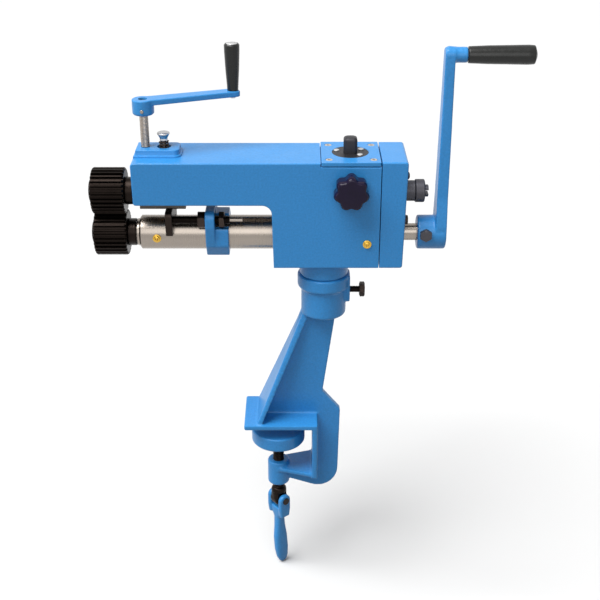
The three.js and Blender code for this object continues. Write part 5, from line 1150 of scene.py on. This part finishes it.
def make_gauge_carriage():
    """The gauge's carriage: a ring on the sleeve, and a wall that rises to hold the rod."""
    car, nut, sleeve = Place("gauge_carriage"), Place("gauge_nut_left"), Place("lower_sleeve")
    z, ry, rz = sleeve.mid[2], nut.mid[1], nut.mid[2]
    x0, x1, wall, top = car.low[0], car.high[0], car.low[0] + 11, car.high[2]
    foot = [[-17, z - 23, 3], [17, z - 23, 3], [27, z - 8, 6]]
    ring = [*foot, [27, z + 14, 10], [12, z + 27, 8], [-12, z + 27, 8], [-27, z + 14, 10], [-27, z - 8, 6]]
    face = [*foot, [22, top, 6], [ry - 12, top, 9], [ry - 12, rz - 6, 8], [-27, z - 8, 6]]
    bodies = [
        slab("ring", eased(ring, 8), "X", x0, x1, 0.8),
        slab("wall", eased(face, 8), "X", x0, wall, 0.8),
    ]
    body = cast("gauge_carriage_casting", bodies, 0.75, 4)
    ways = [
        bar("sleeve_way", x0 - OVER, x1 + OVER, sleeve.size[2] / 2 + 0.15, "X", (0, z), 160),
        bar("rod_way", x0 - OVER, x1 + OVER, GAUGE_ROD_RADIUS + 0.2, "X", (ry, rz), 32),
        bar("nut_room", wall, x1 + OVER, 11.2, "X", (ry, rz)),
    ]
    outfit(carve(body, ways), "gauge_carriage", "sprayed_enamel")


def make_gauge_stop():
    """The gauge's stop finger, milled flat and thinned towards its foot."""
    stop, nut, sleeve = Place("gauge_stop"), Place("gauge_nut_left"), Place("lower_sleeve")
    z, ry, rz = sleeve.mid[2], nut.mid[1], nut.mid[2]
    x0, x1, foot, top = stop.low[0], stop.high[0], stop.low[2], stop.high[2]
    form = [[-26.5, foot, 1.5], [-15, foot], [15, foot], [24.5, foot, 2], [26, top, 6], [-30, top, 6],
            [-30, rz - 4, 6]]
    body = slab("gauge_stop_milled", eased(form), "X", x0, x1, 1.0)
    thinned = [[x0 + 1.8, foot], [x1 - 2.2, foot], [x1, z], [x1, top], [x0, top], [x0, z]]
    wedge = slab("wedge", thinned, "Y", -40, 40)
    ways = [
        bar("sleeve_way", x0 - OVER, x1 + OVER, sleeve.size[2] / 2 + 0.5, "X", (0, z), 160),
        bar("rod_way", x0 - OVER, x1 + OVER, GAUGE_ROD_RADIUS + 0.06, "X", (ry, rz), 32),
    ]
    outfit(carve(carve(body, [wedge], "INTERSECT"), ways), "gauge_stop", "blacked_steel")


def make_gauge_rod():
    """The gauge's threaded rod with its plain tail, and the two nuts on it."""
    rod, nuts = Place("gauge_rod"), {side: Place(f"gauge_nut_{side}") for side in ("left", "right")}
    centre, radius, high = nuts["left"].mid[1:], GAUGE_ROD_RADIUS, rod.high[0]
    end, tail = high - 15, 2.1
    thread = threaded(
        "gauge_rod_thread", rod.low[0], end, radius, size("fine_pitch"), size("thread_depth"), "X", centre
    )
    plain = turned("tail", [[end - 3, tail], [high, tail, 0.6]], "X", centre, 32)
    outfit(thread, "gauge_rod", "blacked_collar")
    attach(plain, "gauge_rod", "ground_steel_X")
    for side, nut in nuts.items():
        node, low, high = f"gauge_nut_{side}", nut.low[0], nut.high[0]
        hexa = hexagon(f"{node}_hexagon", 10.2, "X", low, high, centre, math.pi / 6)
        carve(hexa, [bar("bore", low - OVER, high + OVER, radius + 0.1, "X", centre, 32)])
        # The nuts' lighter finish is partly a painted highlight
        outfit(hexa, node, "worn_black_steel")


def make_hidden():
    """Finishes for the pieces inside the machine, which keep their own shapes."""
    for node in ("lower_gear", "upper_gear", "rear_bearing_sleeve"):
        dress(node, "milled_iron")
    for node in ("lower_rear_bush", "rear_bush", "block_bush"):
        dress(node, "bearing_bronze")
    dress("lift_spring", "blacked_steel")


# Stage


def looked_at(tree):
    """One for rays that show the background, straight, mirrored or through glass, and zero for the rest."""
    path = add(tree, "ShaderNodeLightPath")
    shown = path.outputs["Is Camera Ray"]
    for kind in ("Glossy", "Transmission"):
        ends = {0: shown, 1: path.outputs[f"Is {kind} Ray"]}
        shown = add(tree, "ShaderNodeMath", {"operation": "MAXIMUM"}, ends).outputs[0]
    return shown


def make_floor():
    """A pale floor below the machine, dark to the rays that light it, so that it throws little back up."""
    foot = CAD_LOW.z / MM - 1.5
    floor = skin("studio_floor", np.stack([along("Z", h, *polygon(9000, 64).T) for h in (foot - 20, foot)]))
    made = bpy.data.materials.new("studio_floor_paint")
    tree = emptied(made)
    pale = shade("floor")
    shown = shades(tree, grain(tree, 300, 2), scaled(pale, 0.99), pale)
    ends = {0: looked_at(tree), 6: (*scaled(pale, 0.3), 1), 7: shown}
    tint = add(tree, "ShaderNodeMix", {"data_type": "RGBA"}, ends).outputs[2]
    paint = add(tree, "ShaderNodeBsdfDiffuse", inputs={"Color": tint})
    add(tree, "ShaderNodeOutputMaterial", inputs={"Surface": paint.outputs[0]})
    floor.data.materials.append(made)


def make_world():
    """The room: a dim, even light, and plain white to the rays that show it or mirror it."""
    world = bpy.data.worlds.new("studio")
    bpy.context.scene.world = world
    tree = emptied(world)
    dim, white = (
        add(tree, "ShaderNodeBackground", inputs={"Color": (1, 1, 1, 1), "Strength": strength}).outputs[0]
        for strength in (0.2, 1.0)
    )
    either = add(tree, "ShaderNodeMixShader", inputs={0: looked_at(tree), 1: dim, 2: white})
    add(tree, "ShaderNodeOutputWorld", inputs={"Surface": either.outputs[0]})


def make_lamps():
    """A wide soft lamp overhead, and a panel to the front and to the left."""
    lamp("overhead", "SUN", 4.85, (0, 0, 2), (12, -24, 0), angle=math.radians(45))
    lamp("front_panel", "AREA", 4.9, (0.05, -1.2, 0.85), (74, 0, 2), size=1.0, size_y=0.8)
    lamp("left_panel", "AREA", 3.0, (-1.5, 0.0, 0.75), (72, 0, -90), size=0.8, size_y=0.8)


def lamp(name, kind, energy, location, degrees, **settings):
    """Adds one studio lamp."""
    data = bpy.data.lights.new(name, kind)
    data.energy = energy
    if kind == "AREA":
        data.shape = "RECTANGLE"
    for key, value in settings.items():
        setattr(data, key, value)
    made = placed(name, data)
    made.location = location
    made.rotation_euler = [math.radians(angle) for angle in degrees]


def make_camera():
    """A camera where the photograph was taken, in front and above, looking down at the machine."""
    camera = placed("camera", bpy.data.cameras.new("camera"))
    camera.data.lens = 66
    camera.data.sensor_width = 36
    camera.data.clip_end = 50
    camera.location = (0.028, -1.1984, 0.7563)
    camera.rotation_euler = (math.radians(63.7), 0, 0)
    bpy.context.scene.camera = camera


# Operators and panel


class BEAD_OT_stand(bpy.types.Operator):
    """Build the clamp stand and the swivel's lock bolt"""

    bl_idname = "bead.stand"
    bl_label = "Stand"

    def execute(self, context):
        make_stand()
        make_lock_bolt()
        return {"FINISHED"}


class BEAD_OT_clamp(bpy.types.Operator):
    """Build the clamp's pad, screw, pin and lever"""

    bl_idname = "bead.clamp"
    bl_label = "Clamp"

    def execute(self, context):
        make_clamp_pad()
        make_clamp_screw()
        make_clamp_lever()
        return {"FINISHED"}


class BEAD_OT_head(bpy.types.Operator):
    """Build the head casting, neck, gear cover, top plate and their fixings"""

    bl_idname = "bead.head"
    bl_label = "Head"

    def execute(self, context):
        make_head_casting()
        make_neck()
        make_gear_cover()
        make_top_plate()
        make_cover_fixings()
        return {"FINISHED"}


class BEAD_OT_aligner(bpy.types.Operator):
    """Build the alignment disc with its post and pins, and the star knob"""

    bl_idname = "bead.aligner"
    bl_label = "Alignment Disc and Star Knob"

    def execute(self, context):
        make_aligner()
        make_star_knob()
        return {"FINISHED"}


class BEAD_OT_sleeve(bpy.types.Operator):
    """Build the ground sleeve, its front bush and the oilers"""

    bl_idname = "bead.sleeve"
    bl_label = "Sleeve and Oilers"

    def execute(self, context):
        make_sleeve()
        return {"FINISHED"}


class BEAD_OT_shafts(bpy.types.Operator):
    """Build both shafts and the spacer and lock nut behind the cover"""

    bl_idname = "bead.shafts"
    bl_label = "Shafts"

    def execute(self, context):
        make_shafts()
        make_rear_end()
        return {"FINISHED"}


class BEAD_OT_rolls(bpy.types.Operator):
    """Build the ribbed rolls, their screws and collars"""

    bl_idname = "bead.rolls"
    bl_label = "Rolls"

    def execute(self, context):
        make_rolls()
        return {"FINISHED"}


class BEAD_OT_crank(bpy.types.Operator):
    """Build the crank, its set screw and its grip"""

    bl_idname = "bead.crank"
    bl_label = "Crank"

    def execute(self, context):
        make_crank_arm()
        make_crank_fittings()
        return {"FINISHED"}


class BEAD_OT_nose(bpy.types.Operator):
    """Build the bearing block, lift bolt, pressure screw and pressure crank"""

    bl_idname = "bead.nose"
    bl_label = "Nose and Pressure Crank"

    def execute(self, context):
        make_nose()
        make_pressure_crank()
        make_pressure_grip()
        return {"FINISHED"}


class BEAD_OT_gauge(bpy.types.Operator):
    """Build the depth gauge on the sleeve"""

    bl_idname = "bead.gauge"
    bl_label = "Depth Gauge"

    def execute(self, context):
        make_gauge_carriage()
        make_gauge_stop()
        make_gauge_rod()
        return {"FINISHED"}


class BEAD_OT_hidden(bpy.types.Operator):
    """Finish the gears, bushes and spring, which keep their own shapes"""

    bl_idname = "bead.hidden"
    bl_label = "Inner Pieces"

    def execute(self, context):
        make_hidden()
        return {"FINISHED"}


class BEAD_OT_stage(bpy.types.Operator):
    """Set up the floor, lamps and camera"""

    bl_idname = "bead.stage"
    bl_label = "Stage"

    def execute(self, context):
        context.scene.view_settings.view_transform = "Standard"
        make_floor()
        make_world()
        make_lamps()
        make_camera()
        return {"FINISHED"}


OPERATORS = (
    BEAD_OT_stand,
    BEAD_OT_clamp,
    BEAD_OT_head,
    BEAD_OT_aligner,
    BEAD_OT_sleeve,
    BEAD_OT_shafts,
    BEAD_OT_rolls,
    BEAD_OT_crank,
    BEAD_OT_nose,
    BEAD_OT_gauge,
    BEAD_OT_hidden,
    BEAD_OT_stage,
)


class BEAD_PT_panel(bpy.types.Panel):
    """Sizes, colours and pieces of the bead roller"""

    bl_idname = "BEAD_PT_panel"
    bl_label = "Bead Roller"
    bl_space_type = "VIEW_3D"
    bl_region_type = "UI"
    bl_category = "Bead Roller"

    def draw(self, context):
        for group in (context.scene.bead_sizes, context.scene.bead_colours):
            for key in group.__annotations__:
                self.layout.prop(group, key)
        for operator in OPERATORS:
            self.layout.operator(operator.bl_idname)


CLASSES = (RollerSizes, FinishColours, *OPERATORS, BEAD_PT_panel)


def register():
    """Registers the settings, the operators and the panel."""
    for cls in CLASSES:
        bpy.utils.register_class(cls)
    bpy.types.Scene.bead_sizes = PointerProperty(type=RollerSizes)
    bpy.types.Scene.bead_colours = PointerProperty(type=FinishColours)


def unregister():
    """Takes back what register did."""
    del bpy.types.Scene.bead_sizes
    del bpy.types.Scene.bead_colours
    for cls in reversed(CLASSES):
        bpy.utils.unregister_class(cls)


def main():
    """Registers the add-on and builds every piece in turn."""
    register()
    for operator in OPERATORS:
        group, name = operator.bl_idname.split(".")
        getattr(getattr(bpy.ops, group), name)()


if __name__ == "__main__":
    main()
